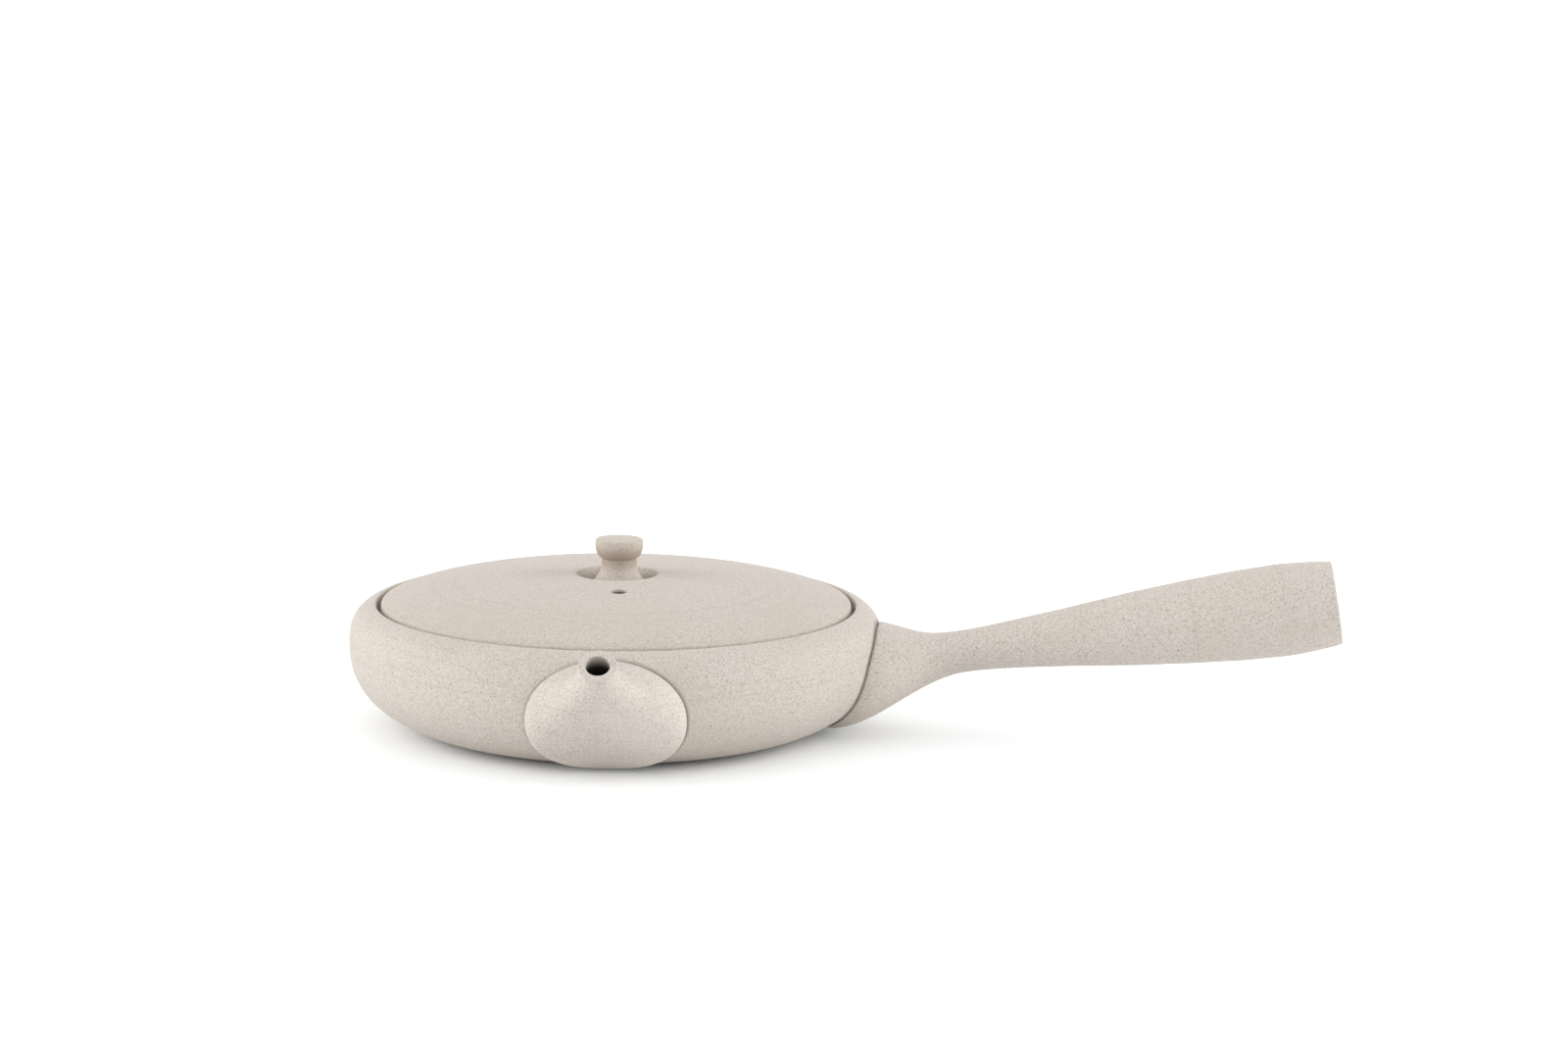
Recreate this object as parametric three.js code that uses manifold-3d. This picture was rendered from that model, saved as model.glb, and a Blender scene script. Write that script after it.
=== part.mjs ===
// Flat clay teapot with a side handle: thrown body, saddle-fitted spout and handle, pierced strainer,
// domed lid in a sunken seat, turned knob. Millimetres, +Z up, origin at the centre of the flat base.
// The handle points along +X, turned a little to the front, and the spout along -Y.
import * as THREE from "three";
import { mergeVertices } from "three/addons/utils/BufferGeometryUtils.js";
import Module from "manifold-3d";

const wasm = await Module();
wasm.setup();

const degrees = THREE.MathUtils.degToRad;

// Body
const BELLY_RADIUS = 67.07; // widest ring
const BELLY_HEIGHT = 21.95; // height of the widest ring
const SHOULDER_HEIGHT = 9.39; // from there to the rim
const BASE_RADIUS = 40.3; // flat foot
const LOWER_CURVE = [1.9, 2.42]; // powers of the outline below the widest ring, on radius and height
const UPPER_CURVE = [2.0, 2.5]; // and above it
const RIM_INSET = 6.77; // from the widest ring in to the mouth
const CREST_INSET = 1.45; // further in, to where the shoulder's curve would lie level
const RIM_ROUND = 0.5;
const WALL = 3.0;
const FLOOR = 3.2;
const FLOOR_INSET = 1.5; // of the inside's flat floor, from the foot's edge
const LEDGE_DROP = 3.74; // from the rim down to the seat that carries the lid
const LEDGE_WIDTH = 4.8;
const LEDGE_THICKNESS = 2.8;
const LEDGE_FILLET = 3.2; // under the ledge
const RIM_HEIGHT = BELLY_HEIGHT + SHOULDER_HEIGHT;
const MOUTH_RADIUS = BELLY_RADIUS - RIM_INSET;
const CREST_RADIUS = MOUTH_RADIUS - CREST_INSET;
const LEDGE_RADIUS = MOUTH_RADIUS - LEDGE_WIDTH;
const LEDGE_HEIGHT = RIM_HEIGHT - LEDGE_DROP;
const LEDGE_UNDERSIDE = LEDGE_HEIGHT - LEDGE_THICKNESS;

// Clearances
const SEAM = 0.3; // between pieces that are luted together or rest on each other
const LID_PLAY = 1.1; // between the lid's edge and the mouth, all round
const FLANGE_PLAY = 1.2; // between the lid's flange and the ledge

// Lid
const LID_RISE = 7.26; // of the dome above the rim, where it would cross the axis
const LID_FALL = 5.22; // even fall of the dome from the axis to its edge
const LID_SHOULDER_FALL = 1.79; // further fall close to the edge
const LID_WALL = 3.0;
const LID_EDGE_ROUND = 1.2;
const LID_FOOT_CHAMFER = 0.4; // under the lid's edge
const LID_RADIUS = MOUTH_RADIUS - LID_PLAY;
const FLANGE_DEPTH = 6.1; // below the ledge
const FLANGE_WALL = 2.8;
const FLANGE_CHAMFER = 0.8;
const FLANGE_RADIUS = LEDGE_RADIUS - FLANGE_PLAY;

// Knob
const KNOB_SHIFT = 0.5; // the knob and the steam hole stand a little to the handle's side
const KNOB_RADIUS = 6.05;
const KNOB_HEIGHT = 11.8; // above the well's floor
const KNOB_CAP_HEIGHT = 5.1;
const KNOB_NECK_RADIUS = 4.4;
const KNOB_FOOT_RADIUS = 6.2;
const KNOB_FOOT_FLARE = 3.4; // height over which the foot narrows to the neck
const KNOB_FLARE_CURVE = [1.1, 0.62]; // powers of that narrowing, on radius and height
// The cap's outline: from the neck's radius out to the knob's, and from the cap's foot to its top
const KNOB_CAP_OUTLINE = [
  [0, 0], [0.32, 0.05], [0.72, 0.22], [0.94, 0.4], [1, 0.56], [0.95, 0.76], [0.72, 0.92], [0, 0.98],
];

// Well round the knob and steam hole, both in the lid
const WELL_MARGIN = 1.7; // round the knob's foot, on the well's floor
const WELL_SLOPE = 2.0; // from the floor's edge out to the lip
const WELL_FLOOR_RADIUS = KNOB_FOOT_RADIUS + KNOB_SHIFT + WELL_MARGIN;
const WELL_RADIUS = WELL_FLOOR_RADIUS + WELL_SLOPE;
const WELL_DEPTH = 3.1;
const WELL_ROUND = 0.5;
const WELL_FLOOR = domeHeight(WELL_RADIUS) - WELL_DEPTH;
const STEAM_HOLE_DIAMETER = 3.8;
const STEAM_HOLE_OFFSET = 22.2; // from the axis, on the spout's side

// Roots of the spout and the handle: ovals on the body's wall, seen along the reach
function rootSpan(turn, halfWidth, foot, headroom) {
  const top = RIM_HEIGHT - headroom;
  return { turn, halfWidth, height: (top + foot) / 2, halfHeight: (top - foot) / 2 };
}
const ROOT_CURVE = 2.1; // power of the oval
const ROOT_PROUD = 0.9; // how far a root's edge stands off the wall
const ROOT_SINK = 5; // how far a root runs into the wall before the saddle cut

// Spout
const SPOUT_TURN = degrees(-92.2); // round the body, from the handle's side
const SPOUT_ROOT_HALF_WIDTH = 18.95;
const SPOUT_ROOT_FOOT = 0.45; // of the root above the base
const SPOUT_ROOT_HEADROOM = 1.75; // of the root under the rim
const SPOUT_REACH = 15.5; // of the tip beyond the belly
const SPOUT_LIFT = 0.85; // of the tip above the rim
const SPOUT_RISE = degrees(50); // of the tip's direction
const SPOUT_DRIFT = -1.1; // of the tip to the handle's far side
const SPOUT_TIP_RADIUS = 4.5;
const SPOUT_BORE_RADIUS = 2.8; // at the tip
const SPOUT_WALL = 2.6; // at the root
const SPOUT_LEAVE = 7; // how far the skin leaves the wall before it turns to the tip
const SPOUT_DIP = degrees(8); // of the skin below the level as it leaves
const SPOUT_ARRIVE = 10; // how far the skin runs straight into the tip
const SPOUT_LIP_ROUND = 0.5;
const SPOUT_ROOT = rootSpan(SPOUT_TURN, SPOUT_ROOT_HALF_WIDTH, SPOUT_ROOT_FOOT, SPOUT_ROOT_HEADROOM);

// Strainer, and the opening through the wall that it covers
const OUTLET_HEIGHT = (FLOOR + LEDGE_UNDERSIDE) / 2;
const STRAINER_HALF_WIDTH = 16.5;
const STRAINER_HEADROOM = 1.2; // over and under the dome
const STRAINER_HALF_HEIGHT = (LEDGE_UNDERSIDE - FLOOR) / 2 - STRAINER_HEADROOM;
const STRAINER_BULGE = 9.5;
const STRAINER_WALL = 1.8;
const STRAINER_SINK = 1.2; // of the dome's flat face behind the wall's inner face
const STRAINER_HOLE_DIAMETER = 1.5;
const STRAINER_RINGS = 3; // rings of holes round the middle one
const STRAINER_MARGIN = 2.6; // from the outer ring of holes to the dome's edge
const STRAINER_HOLES_LIFT = 0.65; // of the holes, because the wall slopes in under the dome
const STRAINER_LAP = 2.2; // of the dome over the outlet's edge, at its top and foot
const STRAINER_SIDE_LAP = 4.4; // and at its sides
const OUTLET_HALF_WIDTH = STRAINER_HALF_WIDTH - STRAINER_SIDE_LAP;
const OUTLET_HALF_HEIGHT = STRAINER_HALF_HEIGHT - STRAINER_LAP;

// Handle
const HANDLE_TURN = degrees(-9);
const HANDLE_ROOT_HALF_WIDTH = 17.9;
const HANDLE_ROOT_FOOT = 1.4;
const HANDLE_ROOT_HEADROOM = 3.6;
const HANDLE_LEAVE = 8;
const HANDLE_DIP = degrees(11);
const HANDLE_ARRIVE = 8;
const HANDLE_NECK_RADIUS = 5.2;
const HANDLE_SWELL_RADIUS = 11.45;
const HANDLE_SWELL_CURVE = 1.12; // power of the swelling
const HANDLE_SWELL_SHARE = 0.795; // of the way from the neck to the end, where the handle is widest
const HANDLE_END_RADIUS = 10.5;
const HANDLE_WALL = 2.5;
const HANDLE_LIP_ROUND = 0.5;
// Centre line from the neck to the end: beyond the belly, and above the root
const HANDLE_LINE = [[18.9, 6.7], [33, 9.25], [53, 12.6], [76.4, 16.5], [99.3, 20.3], [111.8, 22.5]];
const HANDLE_ROOT = rootSpan(HANDLE_TURN, HANDLE_ROOT_HALF_WIDTH, HANDLE_ROOT_FOOT, HANDLE_ROOT_HEADROOM);

// Facets
const ROUND_STEPS = 52;
const TUBE_STEPS = 32;
const FLARE_STEPS = 7;
const HANDLE_STEPS = 11;
const DOME_STEPS = 8;

const CLAY = 0xcdc2b4;
const INNER_CLAY = 0xc4b8a9;

/** Closed geometry to a solid, with its faces turned outwards. */
function toSolid(geometry) {
  geometry.deleteAttribute("normal");
  geometry.deleteAttribute("uv");
  const merged = mergeVertices(geometry, 1e-4);
  const corners = merged.index.array;
  const triangles = [];
  for (let i = 0; i < corners.length; i += 3) {
    const [a, b, c] = [corners[i], corners[i + 1], corners[i + 2]];
    if (a !== b && b !== c && a !== c) triangles.push(a, b, c);
  }
  const build = (list) => new wasm.Manifold(new wasm.Mesh({
    numProp: 3,
    vertProperties: new Float32Array(merged.attributes.position.array),
    triVerts: new Uint32Array(list),
  }));
  const solid = build(triangles);
  return solid.volume() > 0 ? solid : build(triangles.reverse());
}

/** Profile of [radius, height] pairs turned about +Z. */
function revolve(profile, steps = ROUND_STEPS) {
  const points = profile.map(([r, z]) => new THREE.Vector2(Math.max(r, 0), z));
  return toSolid(new THREE.LatheGeometry(points, steps).rotateX(Math.PI / 2));
}

/** Closed solid through rings of equal point counts, capped at both ends. */
function loft(rings) {
  const count = rings[0].length;
  const position = rings.flat().flatMap((p) => [p.x, p.y, p.z]);
  const index = [];
  for (let k = 0; k + 1 < rings.length; k += 1) {
    for (let i = 0; i < count; i += 1) {
      const [a, b] = [k * count + i, k * count + ((i + 1) % count)];
      index.push(a, b, b + count, a, b + count, a + count);
    }
  }
  for (const k of [0, rings.length - 1]) {
    const middle = rings[k].reduce((sum, p) => sum.add(p), new THREE.Vector3()).divideScalar(count);
    const centre = position.length / 3;
    position.push(middle.x, middle.y, middle.z);
    for (let i = 0; i < count; i += 1) {
      const pair = [k * count + i, k * count + ((i + 1) % count)];
      index.push(...(k === 0 ? pair.reverse() : pair), centre);
    }
  }
  const geometry = new THREE.BufferGeometry();
  geometry.setAttribute("position", new THREE.Float32BufferAttribute(position, 3));
  geometry.setIndex(index);
  return toSolid(geometry);
}

/** Directions out from the axis and sideways from that, at an angle round the body. */
function compass(turn) {
  return {
    out: new THREE.Vector3(Math.cos(turn), Math.sin(turn), 0),
    side: new THREE.Vector3(-Math.sin(turn), Math.cos(turn), 0),
  };
}

/** One item for each column of a tube, from its angle round the tube. */
function columns(make) {
  return Array.from({ length: TUBE_STEPS }, (_, i) => make((2 * Math.PI * i) / TUBE_STEPS));
}

/** Elliptical ring square to a rising direction, in the upright plane at an angle round the body. */
function ring(turn, { reach, height, rise = 0, drift = 0 }, halfWidth, halfHeight = halfWidth) {
  const { out, side } = compass(turn);
  const up = new THREE.Vector3(0, 0, Math.cos(rise)).addScaledVector(out, -Math.sin(rise));
  return columns((angle) => out.clone().multiplyScalar(reach).setZ(height)
    .addScaledVector(side, drift + halfWidth * Math.cos(angle))
    .addScaledVector(up, halfHeight * Math.sin(angle)));
}

/** Points of a quarter superellipse between two stations, first and last included. */
function quarter(from, to, [powerR, powerZ], steps) {
  return Array.from({ length: steps + 1 }, (_, i) => {
    const angle = (Math.PI / 2) * (i / steps);
    const across = Math.cos(angle) ** (2 / powerR);
    const along = Math.sin(angle) ** (2 / powerZ);
    return [to[0] + (from[0] - to[0]) * across, from[1] + (to[1] - from[1]) * along];
  });
}

/** Arc of a circle about a centre, in degrees. */
function arc([cx, cz], radius, start, end, steps) {
  return Array.from({ length: steps + 1 }, (_, i) => {
    const angle = degrees(start + ((end - start) * i) / steps);
    return [cx + radius * Math.cos(angle), cz + radius * Math.sin(angle)];
  });
}

/** Radius of the body's outside at a height, grown by a clearance. */
function bodyRadius(height, grow) {
  const above = height > BELLY_HEIGHT;
  const [powerR, powerZ] = above ? UPPER_CURVE : LOWER_CURVE;
  const [level, near] = above ? [RIM_HEIGHT + grow, CREST_RADIUS] : [-grow, BASE_RADIUS];
  const share = (height - BELLY_HEIGHT) / (level - BELLY_HEIGHT);
  return near + (BELLY_RADIUS + grow - near) * (1 - share ** powerZ) ** (1 / powerR);
}

/** Outer outline of the body, foot to crest, grown by a clearance. */
function bodyOutline(grow = 0) {
  const belly = [BELLY_RADIUS + grow, BELLY_HEIGHT];
  const lower = quarter(belly, [BASE_RADIUS, -grow], LOWER_CURVE, 9).reverse();
  const upper = quarter(belly, [CREST_RADIUS, RIM_HEIGHT + grow], UPPER_CURVE, 7);
  return [...lower, ...upper.slice(1)];
}

/** The body as one filled form, for cutting the saddles. */
function bodyForm(grow) {
  const outline = bodyOutline(grow);
  return revolve([[0, outline[0][1]], ...outline, [0, outline.at(-1)[1]]]);
}

/** Outline of the space inside the body's wall and under the ledge, shrunk by a clearance. */
function cavityOutline(shrink = 0) {
  const radius = BELLY_RADIUS - WALL - shrink;
  const top = LEDGE_UNDERSIDE - shrink;
  const belly = [radius, BELLY_HEIGHT];
  const wall = quarter(belly, [BASE_RADIUS - FLOOR_INSET, FLOOR + shrink], LOWER_CURVE, 7).reverse();
  const fillet = quarter(belly, [radius - LEDGE_FILLET, top], [2, 2], 3);
  return [...wall, ...fillet.slice(1), [LEDGE_RADIUS, top]];
}

function makeBody() {
  const outside = bodyOutline().filter(([r, z]) => z < BELLY_HEIGHT || r > MOUTH_RADIUS + 1.5 * RIM_ROUND);
  const shell = revolve([
    [0, 0],
    ...outside,
    [MOUTH_RADIUS + 0.7 * RIM_ROUND, RIM_HEIGHT - 0.2 * RIM_ROUND],
    [MOUTH_RADIUS, RIM_HEIGHT - RIM_ROUND],
    [MOUTH_RADIUS, LEDGE_HEIGHT],
    [LEDGE_RADIUS, LEDGE_HEIGHT],
    ...cavityOutline().reverse(),
    [0, FLOOR],
  ]);
  const outlet = [BELLY_RADIUS - 6 * WALL, BELLY_RADIUS + WALL].map((reach) => ring(
    SPOUT_TURN, { reach, height: OUTLET_HEIGHT }, OUTLET_HALF_WIDTH, OUTLET_HALF_HEIGHT,
  ));
  return shell.subtract(loft(outlet));
}

/** Outline of a root on the body's wall, at its proud edge or sunk from there into the wall. */
function rootRing({ turn, height, halfWidth, halfHeight }, sink = 0) {
  const { out, side } = compass(turn);
  const oval = (value) => Math.sign(value) * Math.abs(value) ** (2 / ROOT_CURVE);
  const nudge = 0.01;
  return columns((angle) => {
    const across = halfWidth * oval(Math.cos(angle));
    const z = height + halfHeight * oval(Math.sin(angle));
    const radius = bodyRadius(z, ROOT_PROUD);
    const slope = (bodyRadius(z + nudge, ROOT_PROUD) - bodyRadius(z - nudge, ROOT_PROUD)) / (2 * nudge);
    const point = out.clone().multiplyScalar(Math.sqrt(radius ** 2 - across ** 2))
      .addScaledVector(side, across).setZ(z);
    const normal = new THREE.Vector3(point.x / radius, point.y / radius, -slope).normalize();
    return point.addScaledVector(normal, -sink);
  });
}

/** Rings of a flare that leaves a root one way and meets a smaller ring another way. */
function flareRings(root, leave, target, arrive) {
  const curves = rootRing(root).map((p, i) => new THREE.CubicBezierCurve3(
    p, p.clone().add(leave), target[i].clone().sub(arrive), target[i],
  ));
  const shares = Array.from({ length: FLARE_STEPS + 1 }, (_, k) => k / FLARE_STEPS);
  return shares.map((t) => curves.map((curve) => curve.getPoint(t)));
}

/** Rings of a tube's bore: its skin moved in by the wall's thickness at each ring. */
function boreRings(skin, wallAt) {
  const last = skin.length - 1;
  return skin.map((row, k) => row.map((p, i) => {
    const along = skin[Math.min(k + 1, last)][i].clone().sub(skin[Math.max(k - 1, 0)][i]);
    const around = row[(i + 1) % row.length].clone().sub(row.at(i - 1));
    return p.clone().addScaledVector(around.cross(along).normalize(), -wallAt(k / last));
  }));
}

/** Direction that climbs at an angle, out from the axis. */
function climbing(turn, rise, length) {
  return compass(turn).out.multiplyScalar(length * Math.cos(rise)).setZ(length * Math.sin(rise));
}

/** A ring moved along a direction and narrowed towards its middle. */
function lipRing(from, direction, step, shrink = 0) {
  const middle = from.reduce((sum, p) => sum.add(p), new THREE.Vector3()).divideScalar(from.length);
  return from.map((p) => p.clone().addScaledVector(p.clone().sub(middle).normalize(), -shrink)
    .addScaledVector(direction, step));
}

/** Open tube that sits on the body's wall: skin less bore, less the body under the root. */
function saddledTube(root, skin, wallAt, onward, lipRound) {
  const bore = boreRings(skin, wallAt);
  const sunk = rootRing(root, ROOT_SINK);
  const boreSunk = bore[0].map((p, i) => p.clone().add(sunk[i]).sub(skin[0][i]));
  const outside = [sunk, ...skin, lipRing(skin.at(-1), onward, lipRound, lipRound)];
  const inside = [boreSunk, ...bore, lipRing(bore.at(-1), onward, 2 * lipRound)];
  return loft(outside).subtract(loft(inside)).subtract(bodyForm(SEAM));
}

function makeSpout() {
  const onward = climbing(SPOUT_TURN, SPOUT_RISE, 1);
  const tip = ring(SPOUT_TURN, {
    reach: BELLY_RADIUS + SPOUT_REACH, height: RIM_HEIGHT + SPOUT_LIFT, rise: SPOUT_RISE, drift: SPOUT_DRIFT,
  }, SPOUT_TIP_RADIUS);
  const leave = climbing(SPOUT_TURN, -SPOUT_DIP, SPOUT_LEAVE);
  const skin = flareRings(SPOUT_ROOT, leave, tip, climbing(SPOUT_TURN, SPOUT_RISE, SPOUT_ARRIVE));
  const wallAt = (t) => THREE.MathUtils.lerp(SPOUT_WALL, SPOUT_TIP_RADIUS - SPOUT_BORE_RADIUS, t);
  return saddledTube(SPOUT_ROOT, skin, wallAt, onward, SPOUT_LIP_ROUND);
}

/** Half-dome on the wall's inner face, pierced with rings of small holes. */
function makeStrainer() {
  const reach = BELLY_RADIUS - WALL - STRAINER_SINK;
  const dome = (inset) => {
    const ball = new THREE.SphereGeometry(1, 20, 12);
    ball.scale(STRAINER_BULGE - inset, STRAINER_HALF_WIDTH - inset, STRAINER_HALF_HEIGHT - inset);
    return toSolid(ball.translate(reach, 0, OUTLET_HEIGHT).rotateZ(SPOUT_TURN));
  };
  const drill = (y, z) => {
    const length = 3 * STRAINER_BULGE;
    const pin = new THREE.CylinderGeometry(STRAINER_HOLE_DIAMETER / 2, STRAINER_HOLE_DIAMETER / 2, length, 6);
    pin.rotateZ(Math.PI / 2).translate(reach - length / 2, y, OUTLET_HEIGHT + STRAINER_HOLES_LIFT + z);
    return toSolid(pin.rotateZ(SPOUT_TURN));
  };
  const cavity = revolve([
    [0, FLOOR + SEAM], ...cavityOutline(SEAM), [0, LEDGE_UNDERSIDE - SEAM],
  ]);
  const margin = STRAINER_WALL + STRAINER_MARGIN;
  const holes = [[0, 0]];
  for (let k = 1; k <= STRAINER_RINGS; k += 1) {
    for (let i = 0; i < 6 * k; i += 1) {
      const angle = (2 * Math.PI * i) / (6 * k);
      const share = k / STRAINER_RINGS;
      holes.push([
        (STRAINER_HALF_WIDTH - margin) * share * Math.cos(angle),
        (STRAINER_HALF_HEIGHT - margin) * share * Math.sin(angle),
      ]);
    }
  }
  const shell = dome(0).subtract(dome(STRAINER_WALL)).intersect(cavity);
  return holes.reduce((solid, [y, z]) => solid.subtract(drill(y, z)), shell);
}

/** Smooth step from 0 to 1. */
function ease(t) {
  const s = THREE.MathUtils.clamp(t, 0, 1);
  return s * s * (3 - 2 * s);
}

/** Radius of the handle at a share of the way from its neck to its end. */
function handleRadius(t) {
  const swollen = ease(t / HANDLE_SWELL_SHARE) ** HANDLE_SWELL_CURVE;
  const narrowed = ease((t - HANDLE_SWELL_SHARE) / (1 - HANDLE_SWELL_SHARE));
  return HANDLE_NECK_RADIUS + (HANDLE_SWELL_RADIUS - HANDLE_NECK_RADIUS) * swollen
    - (HANDLE_SWELL_RADIUS - HANDLE_END_RADIUS) * narrowed;
}

function makeHandle() {
  const start = new THREE.Vector2(BELLY_RADIUS, HANDLE_ROOT.height);
  const line = new THREE.SplineCurve(HANDLE_LINE.map((knot) => new THREE.Vector2(...knot).add(start)));
  const trunk = Array.from({ length: HANDLE_STEPS + 1 }, (_, i) => {
    const t = i / HANDLE_STEPS;
    const { x, y } = line.getPoint(t);
    return ring(HANDLE_TURN, { reach: x, height: y, rise: line.getTangent(t).angle() }, handleRadius(t));
  });
  const leave = climbing(HANDLE_TURN, -HANDLE_DIP, HANDLE_LEAVE);
  const arrive = climbing(HANDLE_TURN, line.getTangent(0).angle(), HANDLE_ARRIVE);
  const onward = climbing(HANDLE_TURN, line.getTangent(1).angle(), 1);
  const skin = [...flareRings(HANDLE_ROOT, leave, trunk[0], arrive), ...trunk.slice(1)];
  return saddledTube(HANDLE_ROOT, skin, () => HANDLE_WALL, onward, HANDLE_LIP_ROUND);
}

/** Height of the lid's dome at a radius. */
function domeHeight(radius) {
  const share = radius / LID_RADIUS;
  return RIM_HEIGHT + LID_RISE - LID_FALL * share ** 2 - LID_SHOULDER_FALL * share ** 8;
}

function makeLid() {
  const seat = LEDGE_HEIGHT + SEAM;
  const foot = LEDGE_HEIGHT - FLANGE_DEPTH;
  const inner = FLANGE_RADIUS - FLANGE_WALL;
  const span = (from, to, steps, lift) => Array.from({ length: steps + 1 }, (_, i) => {
    const r = from + ((to - from) * i) / steps;
    return [r, domeHeight(r) - lift];
  });
  const profile = [
    [0, WELL_FLOOR],
    [WELL_FLOOR_RADIUS - WELL_ROUND, WELL_FLOOR],
    [WELL_FLOOR_RADIUS + WELL_ROUND, WELL_FLOOR + WELL_ROUND],
    [WELL_RADIUS - WELL_ROUND, domeHeight(WELL_RADIUS) - WELL_ROUND],
    ...span(WELL_RADIUS, LID_RADIUS - LID_EDGE_ROUND, DOME_STEPS, 0),
    ...arc([LID_RADIUS - LID_EDGE_ROUND, domeHeight(LID_RADIUS) - LID_EDGE_ROUND], LID_EDGE_ROUND, 60, 0, 2),
    [LID_RADIUS, seat + LID_FOOT_CHAMFER],
    [LID_RADIUS - LID_FOOT_CHAMFER, seat],
    [FLANGE_RADIUS, seat],
    [FLANGE_RADIUS, foot + FLANGE_CHAMFER],
    [FLANGE_RADIUS - FLANGE_CHAMFER, foot],
    [inner + FLANGE_CHAMFER, foot],
    [inner, foot + FLANGE_CHAMFER],
    ...span(inner, WELL_RADIUS + LID_WALL, DOME_STEPS / 2, LID_WALL),
    [WELL_RADIUS, WELL_FLOOR - LID_WALL],
    [0, WELL_FLOOR - LID_WALL],
  ];
  const pin = new THREE.CylinderGeometry(STEAM_HOLE_DIAMETER / 2, STEAM_HOLE_DIAMETER / 2, 6 * LID_WALL, 20);
  pin.rotateX(Math.PI / 2).translate(KNOB_SHIFT, -STEAM_HOLE_OFFSET, domeHeight(STEAM_HOLE_OFFSET));
  return revolve(profile).subtract(toSolid(pin));
}

function makeKnob() {
  const foot = WELL_FLOOR + SEAM;
  const top = WELL_FLOOR + KNOB_HEIGHT + SEAM;
  const cap = top - KNOB_CAP_HEIGHT;
  const flare = quarter(
    [KNOB_NECK_RADIUS, foot + KNOB_FOOT_FLARE], [KNOB_FOOT_RADIUS, foot + SEAM], KNOB_FLARE_CURVE, 5,
  ).reverse();
  return revolve([
    [0, foot],
    [KNOB_FOOT_RADIUS, foot],
    ...flare,
    ...KNOB_CAP_OUTLINE.map(([r, z]) => [
      KNOB_NECK_RADIUS + (KNOB_RADIUS - KNOB_NECK_RADIUS) * r, cap + KNOB_CAP_HEIGHT * z,
    ]),
    [0, top],
  ], TUBE_STEPS).translate([KNOB_SHIFT, 0, 0]);
}

/** Named mesh of a solid, in its own clay. */
function piece(name, solid, color = CLAY) {
  const { vertProperties, triVerts } = solid.getMesh();
  const geometry = new THREE.BufferGeometry();
  geometry.setAttribute("position", new THREE.BufferAttribute(new Float32Array(vertProperties), 3));
  geometry.setIndex(new THREE.BufferAttribute(new Uint32Array(triVerts), 1));
  const mesh = new THREE.Mesh(geometry, new THREE.MeshStandardMaterial({ color, roughness: 0.85 }));
  mesh.name = name;
  return mesh;
}

const teapot = new THREE.Group();
const liftedLid = new THREE.Group();
liftedLid.add(piece("lid", makeLid()), piece("knob", makeKnob()));
teapot.add(
  piece("pot_body", makeBody()),
  piece("spout", makeSpout()),
  piece("strainer", makeStrainer(), INNER_CLAY),
  piece("handle", makeHandle()),
  liftedLid,
);

export default teapot;
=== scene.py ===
"""A flat clay teapot with a side handle, dressed for a soft studio picture.

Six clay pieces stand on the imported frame: the thrown body, the spout and the handle that are luted to its
wall by wide oval roots, the pierced strainer behind the spout, the domed lid and its knob. Every size is in
metres. The body's axis is the Z axis, the handle points along +X and the spout along -Y.
"""
from __future__ import annotations

import logging
import math
from dataclasses import dataclass, field, replace
from enum import Enum
from typing import NamedTuple, Sequence

import bpy
import numpy as np
from mathutils import Matrix, Vector


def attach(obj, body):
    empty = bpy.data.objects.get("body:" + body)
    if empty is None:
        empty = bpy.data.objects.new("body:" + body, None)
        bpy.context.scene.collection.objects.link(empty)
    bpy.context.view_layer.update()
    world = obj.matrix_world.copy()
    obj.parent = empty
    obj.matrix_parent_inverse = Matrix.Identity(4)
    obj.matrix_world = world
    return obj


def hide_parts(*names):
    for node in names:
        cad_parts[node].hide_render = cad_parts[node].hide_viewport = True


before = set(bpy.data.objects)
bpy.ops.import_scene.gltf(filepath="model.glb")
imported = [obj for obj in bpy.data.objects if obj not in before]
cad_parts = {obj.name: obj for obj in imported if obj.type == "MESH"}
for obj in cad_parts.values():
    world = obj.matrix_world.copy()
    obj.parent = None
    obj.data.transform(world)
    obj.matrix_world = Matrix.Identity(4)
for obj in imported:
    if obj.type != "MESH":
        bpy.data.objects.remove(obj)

LOG = logging.getLogger("teapot")
MM = 0.001
UP = (0.0, 0.0, 1.0)
DOWN = (0.0, 0.0, -1.0)
ELLIPSE = (2.0, 2.0)
LONGEST_STRETCH = 2.0 * MM
MOST_OF_SIDE = 0.49
SWAY_FULL_RADIUS = 20.0 * MM
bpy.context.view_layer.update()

Profile = list[tuple[float, float]]
Colour = tuple[float, float, float]
Socket = bpy.types.NodeSocket


class Lines(Enum):
    """Which way the potter's faint lines run on a piece."""

    ROUND_AXIS = "rings round a straight axis"
    ROUND_CENTRE = "rings about the middle of a flat piece"


class Ramp(NamedTuple):
    """Levels of a pattern between which a tint comes in, and the most of it that shows."""

    start: float
    end: float
    most: float = 1.0


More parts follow.
